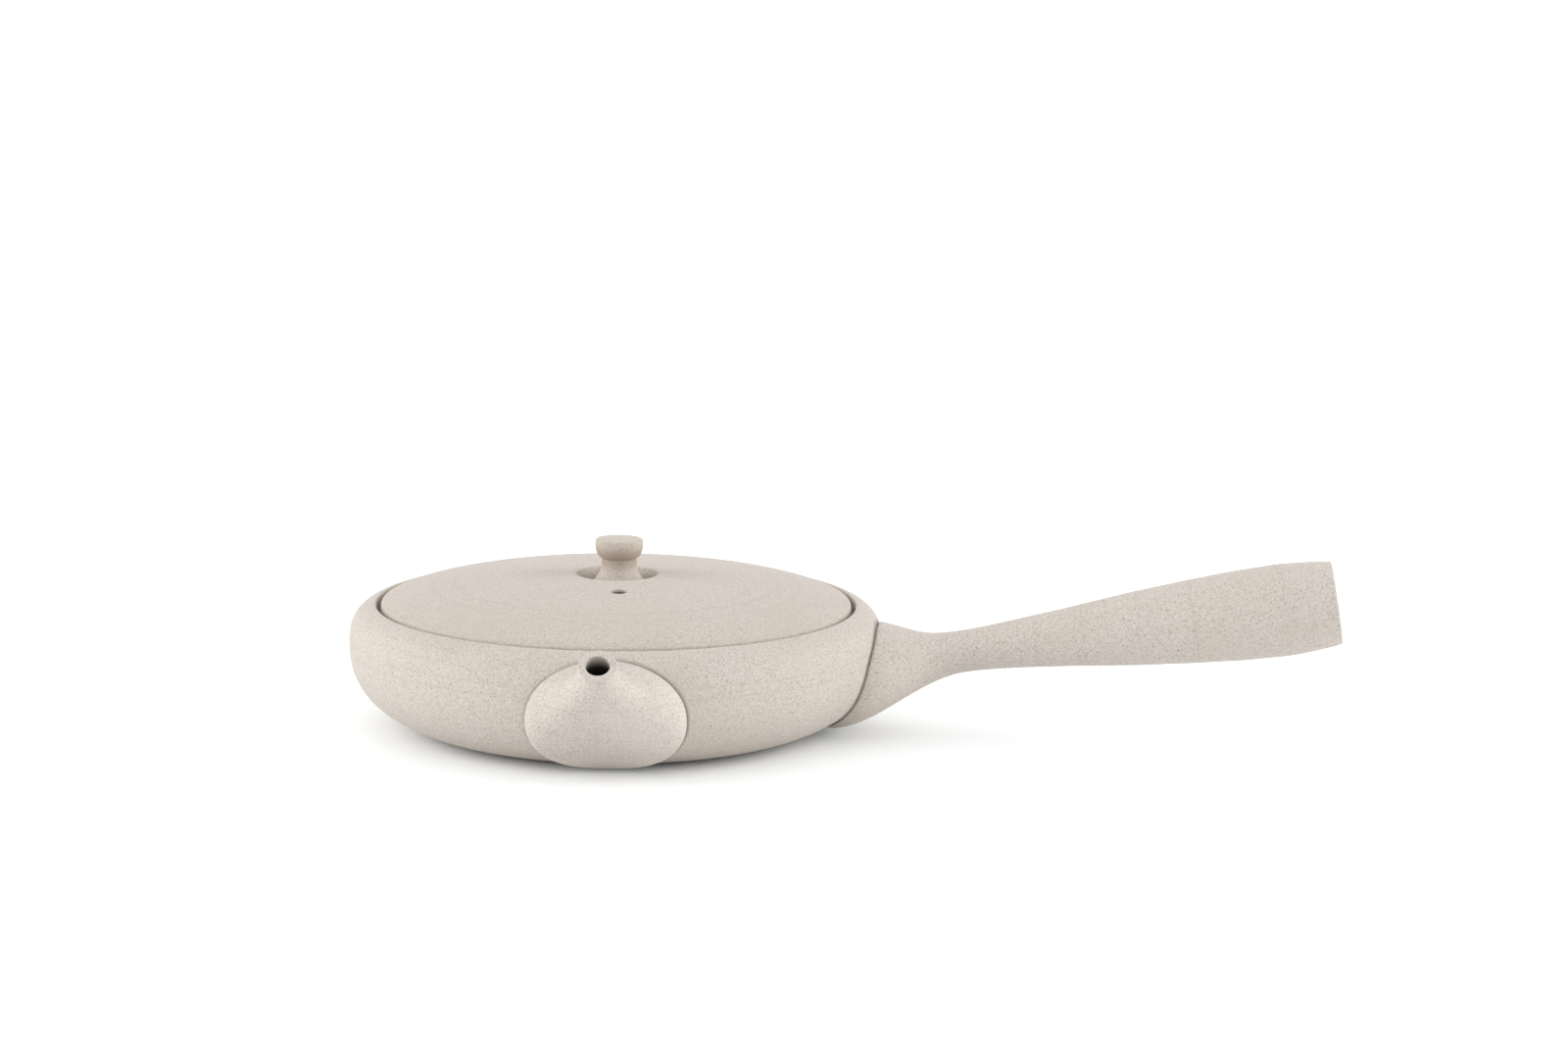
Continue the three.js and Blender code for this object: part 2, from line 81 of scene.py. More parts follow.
class NodeKit:
    """Short ways to add and join the nodes of one material or world."""

    def __init__(self, holder: bpy.types.Material | bpy.types.World) -> None:
        """Empty a node tree, ready for new nodes.

        Args:
            holder: The material or the world that the tree belongs to.
        """
        self.holder = holder
        holder.use_nodes = True
        self.tree = holder.node_tree
        self.tree.nodes.clear()

    def add(self, kind: str, **settings: object) -> bpy.types.Node:
        """Add a node and set its own properties.

        Args:
            kind: The node's type name.
            **settings: Properties of the node, by name.

        Returns:
            The new node.
        """
        node = self.tree.nodes.new(kind)
        for key, value in settings.items():
            setattr(node, key, value)
        return node

    def link(self, source: Socket, target: Socket) -> None:
        """Join two sockets."""
        self.tree.links.new(source, target)

    def noise(
        self, place: Socket, size: float, detail: float, rough: float, dimensions: str = "3D",
    ) -> Socket:
        """Noise of a given grain size.

        Args:
            place: The coordinate, or the single value of one-way noise.
            size: Size of a grain.
            detail: Octaves.
            rough: How much the fine octaves count.
            dimensions: The node's dimensions.

        Returns:
            The noise value.
        """
        node = self.add("ShaderNodeTexNoise", noise_dimensions=dimensions)
        node.inputs["Scale"].default_value = 1 / size
        node.inputs["Detail"].default_value = detail
        node.inputs["Roughness"].default_value = rough
        self.link(place, node.inputs["W" if dimensions == "1D" else "Vector"])
        return node.outputs[0]

    def math(self, operation: str, a: Socket, b: Socket | float = 0.0) -> Socket:
        """One sum on two values.

        Args:
            operation: The node's operation.
            a: The first value.
            b: The second value, a socket or a number.

        Returns:
            The result.
        """
        node = self.add("ShaderNodeMath", operation=operation)
        self.link(a, node.inputs[0])
        if isinstance(b, (int, float)):
            node.inputs[1].default_value = b
        else:
            self.link(b, node.inputs[1])
        return node.outputs[0]

    def product(self, value: Socket, *factors: Socket | float) -> Socket:
        """Several values multiplied.

        Args:
            value: The first value.
            *factors: What it is multiplied by, sockets or numbers.

        Returns:
            The product.
        """
        for factor in factors:
            value = self.math("MULTIPLY", value, factor)
        return value

    def along(self, place: Socket, direction: Sequence[float]) -> Socket:
        """How far a place lies along a direction.

        Args:
            place: The coordinate.
            direction: The direction, one long.

        Returns:
            The distance.
        """
        node = self.add("ShaderNodeVectorMath", operation="DOT_PRODUCT")
        node.inputs[1].default_value = tuple(direction)
        self.link(place, node.inputs[0])
        return node.outputs["Value"]

    def from_axis(self, place: Socket) -> Socket:
        """Distance of a place from the Z axis.

        Args:
            place: The coordinate.

        Returns:
            The distance.
        """
        flat = self.add("ShaderNodeVectorMath", operation="MULTIPLY")
        flat.inputs[1].default_value = (1.0, 1.0, 0.0)
        self.link(place, flat.inputs[0])
        length = self.add("ShaderNodeVectorMath", operation="LENGTH")
        self.link(flat.outputs[0], length.inputs[0])
        return length.outputs["Value"]

    def step(self, value: Socket, start: float, end: float, low: float = 0.0, high: float = 1.0) -> Socket:
        """Smooth step between two levels.

        Args:
            value: The value.
            start: Where the step begins; it may lie above the end, for a step downwards.
            end: Where it is done.
            low: Result before the step.
            high: Result after it.

        Returns:
            The stepped value.
        """
        node = self.add("ShaderNodeMapRange", interpolation_type="SMOOTHSTEP")
        if start > end:
            start, end, low, high = end, start, high, low
        for name, number in zip(("From Min", "From Max", "To Min", "To Max"), (start, end, low, high)):
            node.inputs[name].default_value = number
        self.link(value, node.inputs["Value"])
        return node.outputs[0]

    def mix(self, a: Socket | Colour, b: Socket | Colour, share: Socket) -> Socket:
        """Mix two colours.

        Args:
            a: The colour where the share is 0, a socket or three numbers.
            b: The colour where the share is 1.
            share: How much of b.

        Returns:
            The mixed colour.
        """
        node = self.add("ShaderNodeMix", data_type="RGBA")
        self.link(share, node.inputs["Factor"])
        for index, colour in ((6, a), (7, b)):
            if isinstance(colour, tuple):
                node.inputs[index].default_value = (*colour, 1.0)
            else:
                self.link(colour, node.inputs[index])
        return node.outputs[2]

    def seen(self) -> Socket:
        """Tell what is seen from what only gives light.

        Returns:
            A value of 1 where the camera, a reflection or a clear piece looks, and 0 for light on a piece.
        """
        path = self.add("ShaderNodeLightPath")
        mirrored = self.math("MAXIMUM", path.outputs["Is Glossy Ray"], path.outputs["Is Transmission Ray"])
        return self.math("MAXIMUM", path.outputs["Is Camera Ray"], mirrored)

    def finish(self, shader: Socket) -> None:
        """Send a shader to the material's output."""
        self.link(shader, self.add("ShaderNodeOutputMaterial").inputs["Surface"])


@dataclass(frozen=True)
class BodyForm:
    """Outer outline of the thrown body, which the roots of the spout and the handle follow."""

    belly_radius: float = 67.07 * MM
    belly_height: float = 21.95 * MM
    base_radius: float = 40.3 * MM
    crest_radius: float = 58.85 * MM
    rim_height: float = 31.34 * MM
    lower_powers: tuple[float, float] = (1.9, 2.42)
    upper_powers: tuple[float, float] = (2.0, 2.5)

    def outline(self, steps: int) -> Profile:
        """Outline from the foot to the crest.

        Args:
            steps: Stretches in each half.

        Returns:
            Radius and height of each point.
        """
        belly = (self.belly_radius, self.belly_height)
        lower = quarter(belly, (self.base_radius, 0.0), self.lower_powers, steps)[::-1]
        upper = quarter(belly, (self.crest_radius, self.rim_height), self.upper_powers, steps)
        return lower + upper[1:]

    def radius_at(self, height: np.ndarray, proud: float) -> np.ndarray:
        """Radius at a height, some way off the wall.

        Args:
            height: The heights.
            proud: How far outside the wall.

        Returns:
            The radii.
        """
        above = height > self.belly_height
        level = np.where(above, self.rim_height + proud, -proud)
        near = np.where(above, self.crest_radius, self.base_radius)
        power_r = np.where(above, self.upper_powers[0], self.lower_powers[0])
        power_z = np.where(above, self.upper_powers[1], self.lower_powers[1])
        share = np.clip((height - self.belly_height) / (level - self.belly_height), 0, 1)
        return near + (self.belly_radius + proud - near) * (1 - share ** power_z) ** (1 / power_r)


@dataclass(frozen=True)
class Root:
    """Wide oval on the body's wall where a tube is luted on."""

    form: BodyForm
    turn: float
    half_width: float
    foot: float
    headroom: float
    power: float = 2.1
    proud: float = 0.9 * MM
    # Strength of the seam line at the oval's two sides; where they differ, the change is painted shadow
    seam_stain_and_shadow: tuple[float, float] = (0.50, 0.50)
    seam_fade: float = 0.1
    least_outward: float = 0.05

    @property
    def height(self) -> float:
        """Height of the oval's middle."""
        return (self.form.rim_height - self.headroom + self.foot) / 2

    @property
    def half_height(self) -> float:
        """Half the oval's height."""
        return (self.form.rim_height - self.headroom - self.foot) / 2

    @property
    def out(self) -> np.ndarray:
        """Direction from the body's axis out through the oval's middle."""
        return np.array([math.cos(self.turn), math.sin(self.turn), 0.0])

    @property
    def side(self) -> np.ndarray:
        """Level direction along the wall."""
        return np.array([-math.sin(self.turn), math.cos(self.turn), 0.0])

    def climbing(self, rise: float, length: float) -> np.ndarray:
        """Vector that climbs at an angle, out from the axis."""
        return (self.out * math.cos(rise) + np.array(UP) * math.sin(rise)) * length

    def ring(self, columns: int, proud: float, inset: float = 0.0) -> np.ndarray:
        """The oval on the wall.

        Args:
            columns: Number of points.
            proud: How far off the wall.
            inset: How far inside the oval's edge.

        Returns:
            The points, one a row.
        """
        angles = np.arange(columns) * 2 * math.pi / columns
        oval = [np.sign(v) * np.abs(v) ** (2 / self.power) for v in (np.cos(angles), np.sin(angles))]
        across = (self.half_width - inset) * oval[0]
        height = self.height + (self.half_height - inset) * oval[1]
        reach = np.sqrt(self.form.radius_at(height, proud) ** 2 - across ** 2)
        level = reach[:, None] * self.out + across[:, None] * self.side
        return level + height[:, None] * np.array(UP)

    def seam_stain_and_shade(self, kit: NodeKit, place: Socket, width: float) -> Socket:
        """Dark line on the outside of the wall along the oval's edge: partly a slip stain at the joint,
        partly painted shade of the groove under the root's edge.

        Args:
            kit: The material being built.
            place: The object coordinate.
            width: Width of the line.

        Returns:
            The line's strength, which may change from one side to the other as a painted shadow. It is 0 away
            from the line and on faces that don't point outwards, such as those inside the bowl.
        """
        sideways = kit.along(place, self.side)
        across = kit.math("ABSOLUTE", kit.product(sideways, 1 / self.half_width))
        rise = kit.math("SUBTRACT", kit.along(place, UP), self.height)
        up = kit.math("ABSOLUTE", kit.product(rise, 1 / self.half_height))
        total = kit.math("ADD", kit.math("POWER", across, self.power), kit.math("POWER", up, self.power))
        past_edge = kit.math("SUBTRACT", kit.math("POWER", total, 1 / self.power), 1.0)
        line = kit.step(kit.product(past_edge, self.half_height), width, self.seam_fade * width)
        # Painted shadow: the line grows stronger from one side of the oval to the other
        strength = kit.step(sideways, -self.half_width, self.half_width, *self.seam_stain_and_shadow)
        front = kit.math("GREATER_THAN", kit.along(place, self.out), 0.0)
        normal = kit.add("ShaderNodeTexCoord").outputs["Normal"]
        outward = kit.math("GREATER_THAN", kit.along(normal, self.out), self.least_outward)
        return kit.product(line, strength, front, outward)


@dataclass(frozen=True)
class PaintedHoleShade:
    """Painted shade inside a hole: where it opens, which way it goes in and how deep it is when it is dark.
    """

    mouth: tuple[float, float, float]
    inward: tuple[float, float, float]
    reach: float
    darkest: float = 0.96
    within: float = 1.0

    def shade(self, kit: NodeKit, place: Socket) -> Socket:
        """Share of painted shade at a place.

        Args:
            kit: The material being built.
            place: The object coordinate.

        Returns:
            A value that grows from 0 at the mouth, and is 0 farther than a radius from the body's axis.
        """
        start = sum(m * i for m, i in zip(self.mouth, self.inward))
        dark = kit.step(kit.along(place, self.inward), start, start + self.reach, high=self.darkest)
        return kit.product(dark, kit.math("LESS_THAN", kit.from_axis(place), self.within))


@dataclass(frozen=True)
class Specks:
    """Small round grains, one in some of the cells of a Voronoi pattern."""

    spacing: float
    size: float
    empty_share: float
    strength: float
    edge: tuple[float, float] = (1.8, 0.8)

    def pattern(self, kit: NodeKit, place: Socket) -> Socket:
        """Scatter the grains.

        Args:
            kit: The material being built.
            place: The object coordinate.

        Returns:
            A value that is 1 on a speck and 0 beside it.
        """
        cells = kit.add("ShaderNodeTexVoronoi")
        cells.inputs["Scale"].default_value = 1 / self.spacing
        kit.link(place, cells.inputs["Vector"])
        outer, inner = (self.size * share for share in self.edge)
        inside = kit.step(cells.outputs["Distance"], outer, inner)
        chosen = kit.add("ShaderNodeSeparateColor")
        kit.link(cells.outputs["Color"], chosen.inputs[0])
        return kit.product(inside, kit.math("GREATER_THAN", chosen.outputs[0], self.empty_share))


@dataclass(frozen=True)
class ClayFinish:
    """Unglazed sandy clay: pale ground, fine grain, dark and light specks, faint lines from the wheel, with
    painted light and shade laid over it.
    """

    name: str
    lines: Lines
    axis: tuple[float, float, float] = UP
    joints: tuple[Root, ...] = ()
    # Painted shade inside a hole
    bore: PaintedHoleShade | None = None
    # Painted shade in the lid's well round the knob
    hollow: PaintedHoleShade | None = None
    ground: Colour = (0.610, 0.553, 0.498)
    dark_grain: Colour = (0.405, 0.352, 0.305)
    pale_grain: Colour = (0.760, 0.712, 0.660)
    # Tint of the random mottle, and of the band of painted light and shade by height
    mottle_and_painted_light: Colour = (0.545, 0.470, 0.400)
    iron_speck: Colour = (0.135, 0.105, 0.085)
    # Colour of the joints' dark lines, partly slip stain and partly painted shade, and of the painted shade
    # in the lid's well
    joint_stain_and_painted_shade: Colour = (0.170, 0.140, 0.118)
    # Near-black painted shade inside the bores
    bore_painted_shade: Colour = (0.012, 0.010, 0.009)
    grain_size: float = 0.48 * MM
    clump_size: float = 2.4 * MM
    mottle_size: float = 24.0 * MM
    line_spacing: float = 1.5 * MM
    specks: Specks = Specks(1.5 * MM, size=0.13, empty_share=0.76, strength=0.34)
    pits: Specks = Specks(9.0 * MM, size=0.040, empty_share=0.82, strength=0.50)
    ground_ramp: Ramp = Ramp(0.30, 0.52)
    pale_ramp: Ramp = Ramp(0.52, 0.74, 0.90)
    clump_ramp: Ramp = Ramp(0.56, 0.78, 0.22)
    mottle_ramp: Ramp = Ramp(0.42, 0.75, 0.25)
    line_ramp: Ramp = Ramp(0.55, 0.85, 0.16)
    # Heights of a band of painted shade and light in the mottle's tint: where it fades out above, and where
    # it comes in below. By default it makes the clay darker towards the bottom
    painted_light_top: tuple[float, float] = (10.0 * MM, 0.0)
    painted_light_foot: tuple[float, float] = (-2.0 * MM, -1.0 * MM)
    painted_light_share: float = 0.45
    joint_width: float = 0.8 * MM
    index_of_refraction: float = 1.45
    gloss: float = 0.30
    sheen: float = 0.16
    sheen_roughness: float = 0.35
    roughness: tuple[float, float] = (0.80, 0.94)
    rough_grain: tuple[float, float] = (0.2, 0.8)
    relief: float = 0.06 * MM
    grain_relief: float = 0.8
    line_relief: float = 0.3
    pit_relief: float = 0.5

    def material(self) -> bpy.types.Material:
        """Build the node material.

        Returns:
            The finished material, with its colour, roughness and bump all from procedural nodes.
        """
        kit = NodeKit(bpy.data.materials.new(self.name))
        place = kit.add("ShaderNodeTexCoord").outputs["Object"]
        grain = kit.noise(place, self.grain_size, detail=4.0, rough=0.68)
        lines = self._wheel_lines(kit, place)
        pits = self.pits.pattern(kit, place)

        shader = kit.add("ShaderNodeBsdfPrincipled")
        constants = {
            "IOR": self.index_of_refraction, "Specular IOR Level": self.gloss,
            "Sheen Weight": self.sheen, "Sheen Roughness": self.sheen_roughness,
        }
        for name, number in constants.items():
            shader.inputs[name].default_value = number
        colour = self._shaded(kit, place, self._clay(kit, place, grain, lines, pits))
        kit.link(colour, shader.inputs["Base Color"])
        kit.link(kit.step(grain, *self.rough_grain, *self.roughness), shader.inputs["Roughness"])
        kit.link(self._relief(kit, grain, lines, pits), shader.inputs["Normal"])
        kit.finish(shader.outputs["BSDF"])
        return kit.holder

    def _clay(self, kit: NodeKit, place: Socket, grain: Socket, lines: Socket, pits: Socket) -> Socket:
        """Colour of the bare clay.

        Args:
            kit: The material being built.
            place: The object coordinate.
            grain: The grain's value.
            lines: The wheel lines' value.
            pits: The large specks' value.

        Returns:
            The colour.
        """
        clumps = kit.noise(place, self.clump_size, detail=2.0, rough=0.55)
        mottle = kit.noise(place, self.mottle_size, detail=2.0, rough=0.5)
        layers = (
            (grain, self.ground, self.ground_ramp),
            (grain, self.pale_grain, self.pale_ramp),
            (clumps, self.dark_grain, self.clump_ramp),
            (mottle, self.mottle_and_painted_light, self.mottle_ramp),
            (lines, self.dark_grain, self.line_ramp),
        )
        colour = self.dark_grain
        for pattern, tint, ramp in layers:
            colour = kit.mix(colour, tint, kit.step(pattern, ramp.start, ramp.end, high=ramp.most))
        small = self.specks.pattern(kit, place)
        for pattern, strength in ((small, self.specks.strength), (pits, self.pits.strength)):
            colour = kit.mix(colour, self.iron_speck, kit.product(pattern, strength))
        return colour

    def _shaded(self, kit: NodeKit, place: Socket, colour: Socket) -> Socket:
        """Lay the band of painted light and shade by height, the joints' dark lines of stain and painted
        shade, and the painted shade of the well and of the bores over the clay.

        Args:
            kit: The material being built.
            place: The object coordinate.
            colour: The clay's colour.

        Returns:
            The shaded colour.
        """
        level = kit.along(place, UP)
        # Painted light and shade by height: the band's tint is laid between the given heights
        painted_light_band = kit.product(kit.step(level, *self.painted_light_top), kit.step(level, *self.painted_light_foot), self.painted_light_share)
        colour = kit.mix(colour, self.mottle_and_painted_light, painted_light_band)
        for root in self.joints:
            colour = kit.mix(colour, self.joint_stain_and_painted_shade, root.seam_stain_and_shade(kit, place, self.joint_width))
        for hole, shade in ((self.hollow, self.joint_stain_and_painted_shade), (self.bore, self.bore_painted_shade)):
            if hole:
                colour = kit.mix(colour, shade, hole.shade(kit, place))
        return colour

    def _wheel_lines(self, kit: NodeKit, place: Socket) -> Socket:
        """Noise along one way only, so that it stays the same all along each of the wheel's lines.

        Args:
            kit: The material being built.
            place: The object coordinate.

        Returns:
            A value from 0 to 1.
        """
        if self.lines is Lines.ROUND_AXIS:
            across = kit.along(place, self.axis)
        else:
            across = kit.from_axis(place)
        return kit.noise(across, self.line_spacing, detail=2.0, rough=0.5, dimensions="1D")

    def _relief(self, kit: NodeKit, grain: Socket, lines: Socket, pits: Socket) -> Socket:
        """Bump from the sandy grain, the wheel's lines and the pits at the large specks.

        Args:
            kit: The material being built.
            grain: The grain's value.
            lines: The wheel lines' value.
            pits: The large specks' value.

        Returns:
            The bumped normal.
        """
        height = kit.math("ADD", kit.product(grain, self.grain_relief), kit.product(lines, self.line_relief))
        height = kit.math("SUBTRACT", height, kit.product(pits, self.pit_relief))
        bump = kit.add("ShaderNodeBump")
        bump.inputs["Strength"].default_value = 1.0
        bump.inputs["Distance"].default_value = self.relief
        kit.link(height, bump.inputs["Height"])
        return bump.outputs["Normal"]


def quarter(
    start: tuple[float, float], stop: tuple[float, float], powers: tuple[float, float], steps: int,
) -> Profile:
    """Points of a quarter superellipse.

    Args:
        start: Radius and height where it stands upright.
        stop: Radius and height where it lies level.
        powers: Powers on the radius and on the height.
        steps: Number of stretches.

    Returns:
        The points from start to stop.
    """
    points = []
    for i in range(steps + 1):
        angle = math.pi / 2 * i / steps
        across = max(math.cos(angle), 0.0) ** (2 / powers[0])
        along = math.sin(angle) ** (2 / powers[1])
        points.append((stop[0] + (start[0] - stop[0]) * across, start[1] + (stop[1] - start[1]) * along))
    return points


def rounded(corners: Sequence[tuple[float, float, float]], steps: int = 6) -> Profile:
    """Polyline with its corners rounded.

    Args:
        corners: Radius, height and rounding radius of each corner; the first and last stay sharp.
        steps: Stretches in each rounding.

    Returns:
        The points of the rounded line.
    """
    line: Profile = [corners[0][:2]]
    for before, corner, after in zip(corners, corners[1:], corners[2:]):
        here = Vector(corner[:2])
        back = Vector(before[:2]) - here
        on = Vector(after[:2]) - here
        half = back.angle(on) / 2
        cut = min(corner[2] / math.tan(half), MOST_OF_SIDE * back.length, MOST_OF_SIDE * on.length)
        first, last = here + back.normalized() * cut, here + on.normalized() * cut
        for i in range(steps + 1):
            t = i / steps
            point = first.lerp(here, t).lerp(here.lerp(last, t), t)
            line.append((point.x, point.y))
    line.append(corners[-1][:2])
    return line


def refined(profile: Profile, longest: float = LONGEST_STRETCH) -> Profile:
    """Split the long stretches of a profile.

    Args:
        profile: The points.
        longest: Longest stretch that stays whole.

    Returns:
        The profile with points added on its long stretches.
    """
    line: Profile = [profile[0]]
    for (r0, z0), (r1, z1) in zip(profile, profile[1:]):
        pieces = max(1, math.ceil(math.hypot(r1 - r0, z1 - z0) / longest))
        for k in range(1, pieces + 1):
            line.append((r0 + (r1 - r0) * k / pieces, z0 + (z1 - z0) * k / pieces))
    return line


def ease(t: np.ndarray) -> np.ndarray:
    """Smooth step from 0 to 1."""
    s = np.clip(t, 0, 1)
    return s * s * (3 - 2 * s)


def placed(name: str, data: bpy.types.ID, place: Matrix | None = None) -> bpy.types.Object:
    """Object of some data, linked to the scene.

    Args:
        name: The object's name.
        data: Its mesh, lamp or camera.
        place: Its world matrix, if it isn't at the origin.

    Returns:
        The new object.
    """
    obj = bpy.data.objects.new(name, data)
    bpy.context.scene.collection.objects.link(obj)
    if place is not None:
        obj.matrix_world = place
    return obj


def mesh_object(name: str, points: np.ndarray, faces: list[tuple[int, ...]]) -> bpy.types.Object:
    """Object of a closed mesh in the scene, with its faces turned outwards and shaded smooth.

    Args:
        name: The object's name.
        points: The vertices.
        faces: The vertex numbers of each face.

    Returns:
        The new object.
    """
    mesh = bpy.data.meshes.new(name)
    mesh.from_pydata(points.tolist(), [], faces)
    mesh.validate()
    obj = placed(name, mesh)
    if signed_volume(points, faces) < 0:
        mesh.flip_normals()
    smooth(obj)
    return obj


def signed_volume(points: np.ndarray, faces: list[tuple[int, ...]]) -> float:
    """Volume of a closed mesh, below zero where its faces point inwards.

    Args:
        points: The vertices.
        faces: The vertex numbers of each face.

    Returns:
        The volume.
    """
    total = 0.0
    for face in faces:
        for b, c in zip(face[1:], face[2:]):
            total += float(np.dot(points[face[0]], np.cross(points[b], points[c])))
    return total / 6


def smooth(obj: bpy.types.Object, angle: float = math.radians(40)) -> None:
    """Shade an object smooth, with sharp edges only where it turns by more than an angle.

    Args:
        obj: The object.
        angle: The turn above which an edge stays sharp.
    """
    obj.data.polygons.foreach_set("use_smooth", [True] * len(obj.data.polygons))
    obj.data.set_sharp_from_angle(angle=angle)
    obj.data.update()


def mark_bore(obj: bpy.types.Object, marks: Sequence[bool]) -> None:
    """Note on each face whether it lies inside a bore."""
    obj.data.attributes.new("in_bore", "BOOLEAN", "FACE").data.foreach_set("value", marks)


def dress(obj: bpy.types.Object, clay: bpy.types.Material, bore: bpy.types.Material | None = None) -> None:
    """Give an object its finish, and a copy with painted shade to the faces that are marked as a bore.

    Args:
        obj: The object.
        clay: Its finish.
        bore: The finish with painted shade for its marked faces.
    """
    obj.data.materials.clear()
    obj.data.materials.append(clay)
    if bore:
        obj.data.materials.append(bore)
        marks = [int(mark.value) for mark in obj.data.attributes["in_bore"].data]
        obj.data.polygons.foreach_set("material_index", marks)


def sway(angles: np.ndarray, radius: np.ndarray, height: np.ndarray) -> np.ndarray:
    """Unevenness of a hand-thrown wall: an oval wave, a three-sided one and fine throwing ridges.

    Args:
        angles: The angles round the axis.
        radius: The true radii.
        height: The heights.

    Returns:
        A value from about -2 to 2 at each point.
    """
    oval = np.sin(2 * angles + 90 * height)
    three_sided = np.sin(3 * angles - 170 * radius)
    ridges = np.sin(2600 * height)
    return oval + 0.6 * three_sided + 0.4 * ridges


def turned(name: str, profile: Profile, steps: int, stray: float = 0.0) -> bpy.types.Object:
    """Solid of revolution about the Z axis, from a profile that starts and ends on the axis.

    Args:
        name: The object's name.
        profile: Radius and height of each point.
        steps: Columns round the axis.
        stray: How far the hand-thrown wall lies inside its true radius at most.

    Returns:
        The new object.
    """
    inner = np.array(profile[1:-1])
    radius, height = inner[:, :1], inner[:, 1:]
    angles = np.arange(steps) * 2 * math.pi / steps
    near_axis = np.clip(radius / SWAY_FULL_RADIUS, 0, 1)
    ring = radius - stray * (0.5 + sway(angles, radius, height) / 4) * near_axis
    rows = np.stack([ring * np.cos(angles), ring * np.sin(angles), height + 0 * angles], axis=-1)
    points = np.concatenate([rows.reshape(-1, 3), [[0, 0, profile[0][1]], [0, 0, profile[-1][1]]]])
    faces = band_faces(len(inner), steps)
    first, last = len(points) - 2, len(points) - 1
    top = (len(inner) - 1) * steps
    for i in range(steps):
        j = (i + 1) % steps
        faces += [(first, j, i), (last, top + i, top + j)]
    return mesh_object(name, points, faces)


def band_faces(rows: int, columns: int, closed: bool = False) -> list[tuple[int, ...]]:
    """Quads between rows of points that each close on themselves.

    Args:
        rows: Number of rows.
        columns: Points in a row.
        closed: Whether the last row joins the first.

    Returns:
        The faces.
    """
    faces: list[tuple[int, ...]] = []
    for k in range(rows if closed else rows - 1):
        a, b = k * columns, ((k + 1) % rows) * columns
        for i in range(columns):
            j = (i + 1) % columns
            faces.append((a + i, a + j, b + j, b + i))
    return faces


def pin_faces(columns: int, first: int = 0) -> list[tuple[int, ...]]:
    """Faces of a straight pin between two rings.

    Args:
        columns: Points in a ring.
        first: Number of the first ring's first vertex.

    Returns:
        The faces.
    """
    faces = band_faces(2, columns)
    faces += [tuple(range(columns)), tuple(range(2 * columns - 1, columns - 1, -1))]
    return [tuple(first + v for v in face) for face in faces]


def pierce(obj: bpy.types.Object, cutter: bpy.types.Object, operation: str = "DIFFERENCE") -> None:
    """Cut one object with another, apply the cut and remove the cutter.

    Args:
        obj: The object that is cut.
        cutter: The object that cuts it.
        operation: The Boolean modifier's operation.
    """
    cut = obj.modifiers.new("cut", "BOOLEAN")
    cut.operation = operation
    cut.solver = "EXACT"
    cut.object = cutter
    depsgraph = bpy.context.evaluated_depsgraph_get()
    result = bpy.data.meshes.new_from_object(obj.evaluated_get(depsgraph))
    obj.modifiers.clear()
    old = obj.data
    obj.data = result
    result.name = obj.name
    bpy.data.meshes.remove(old)
    bpy.data.objects.remove(cutter)
    smooth(obj)


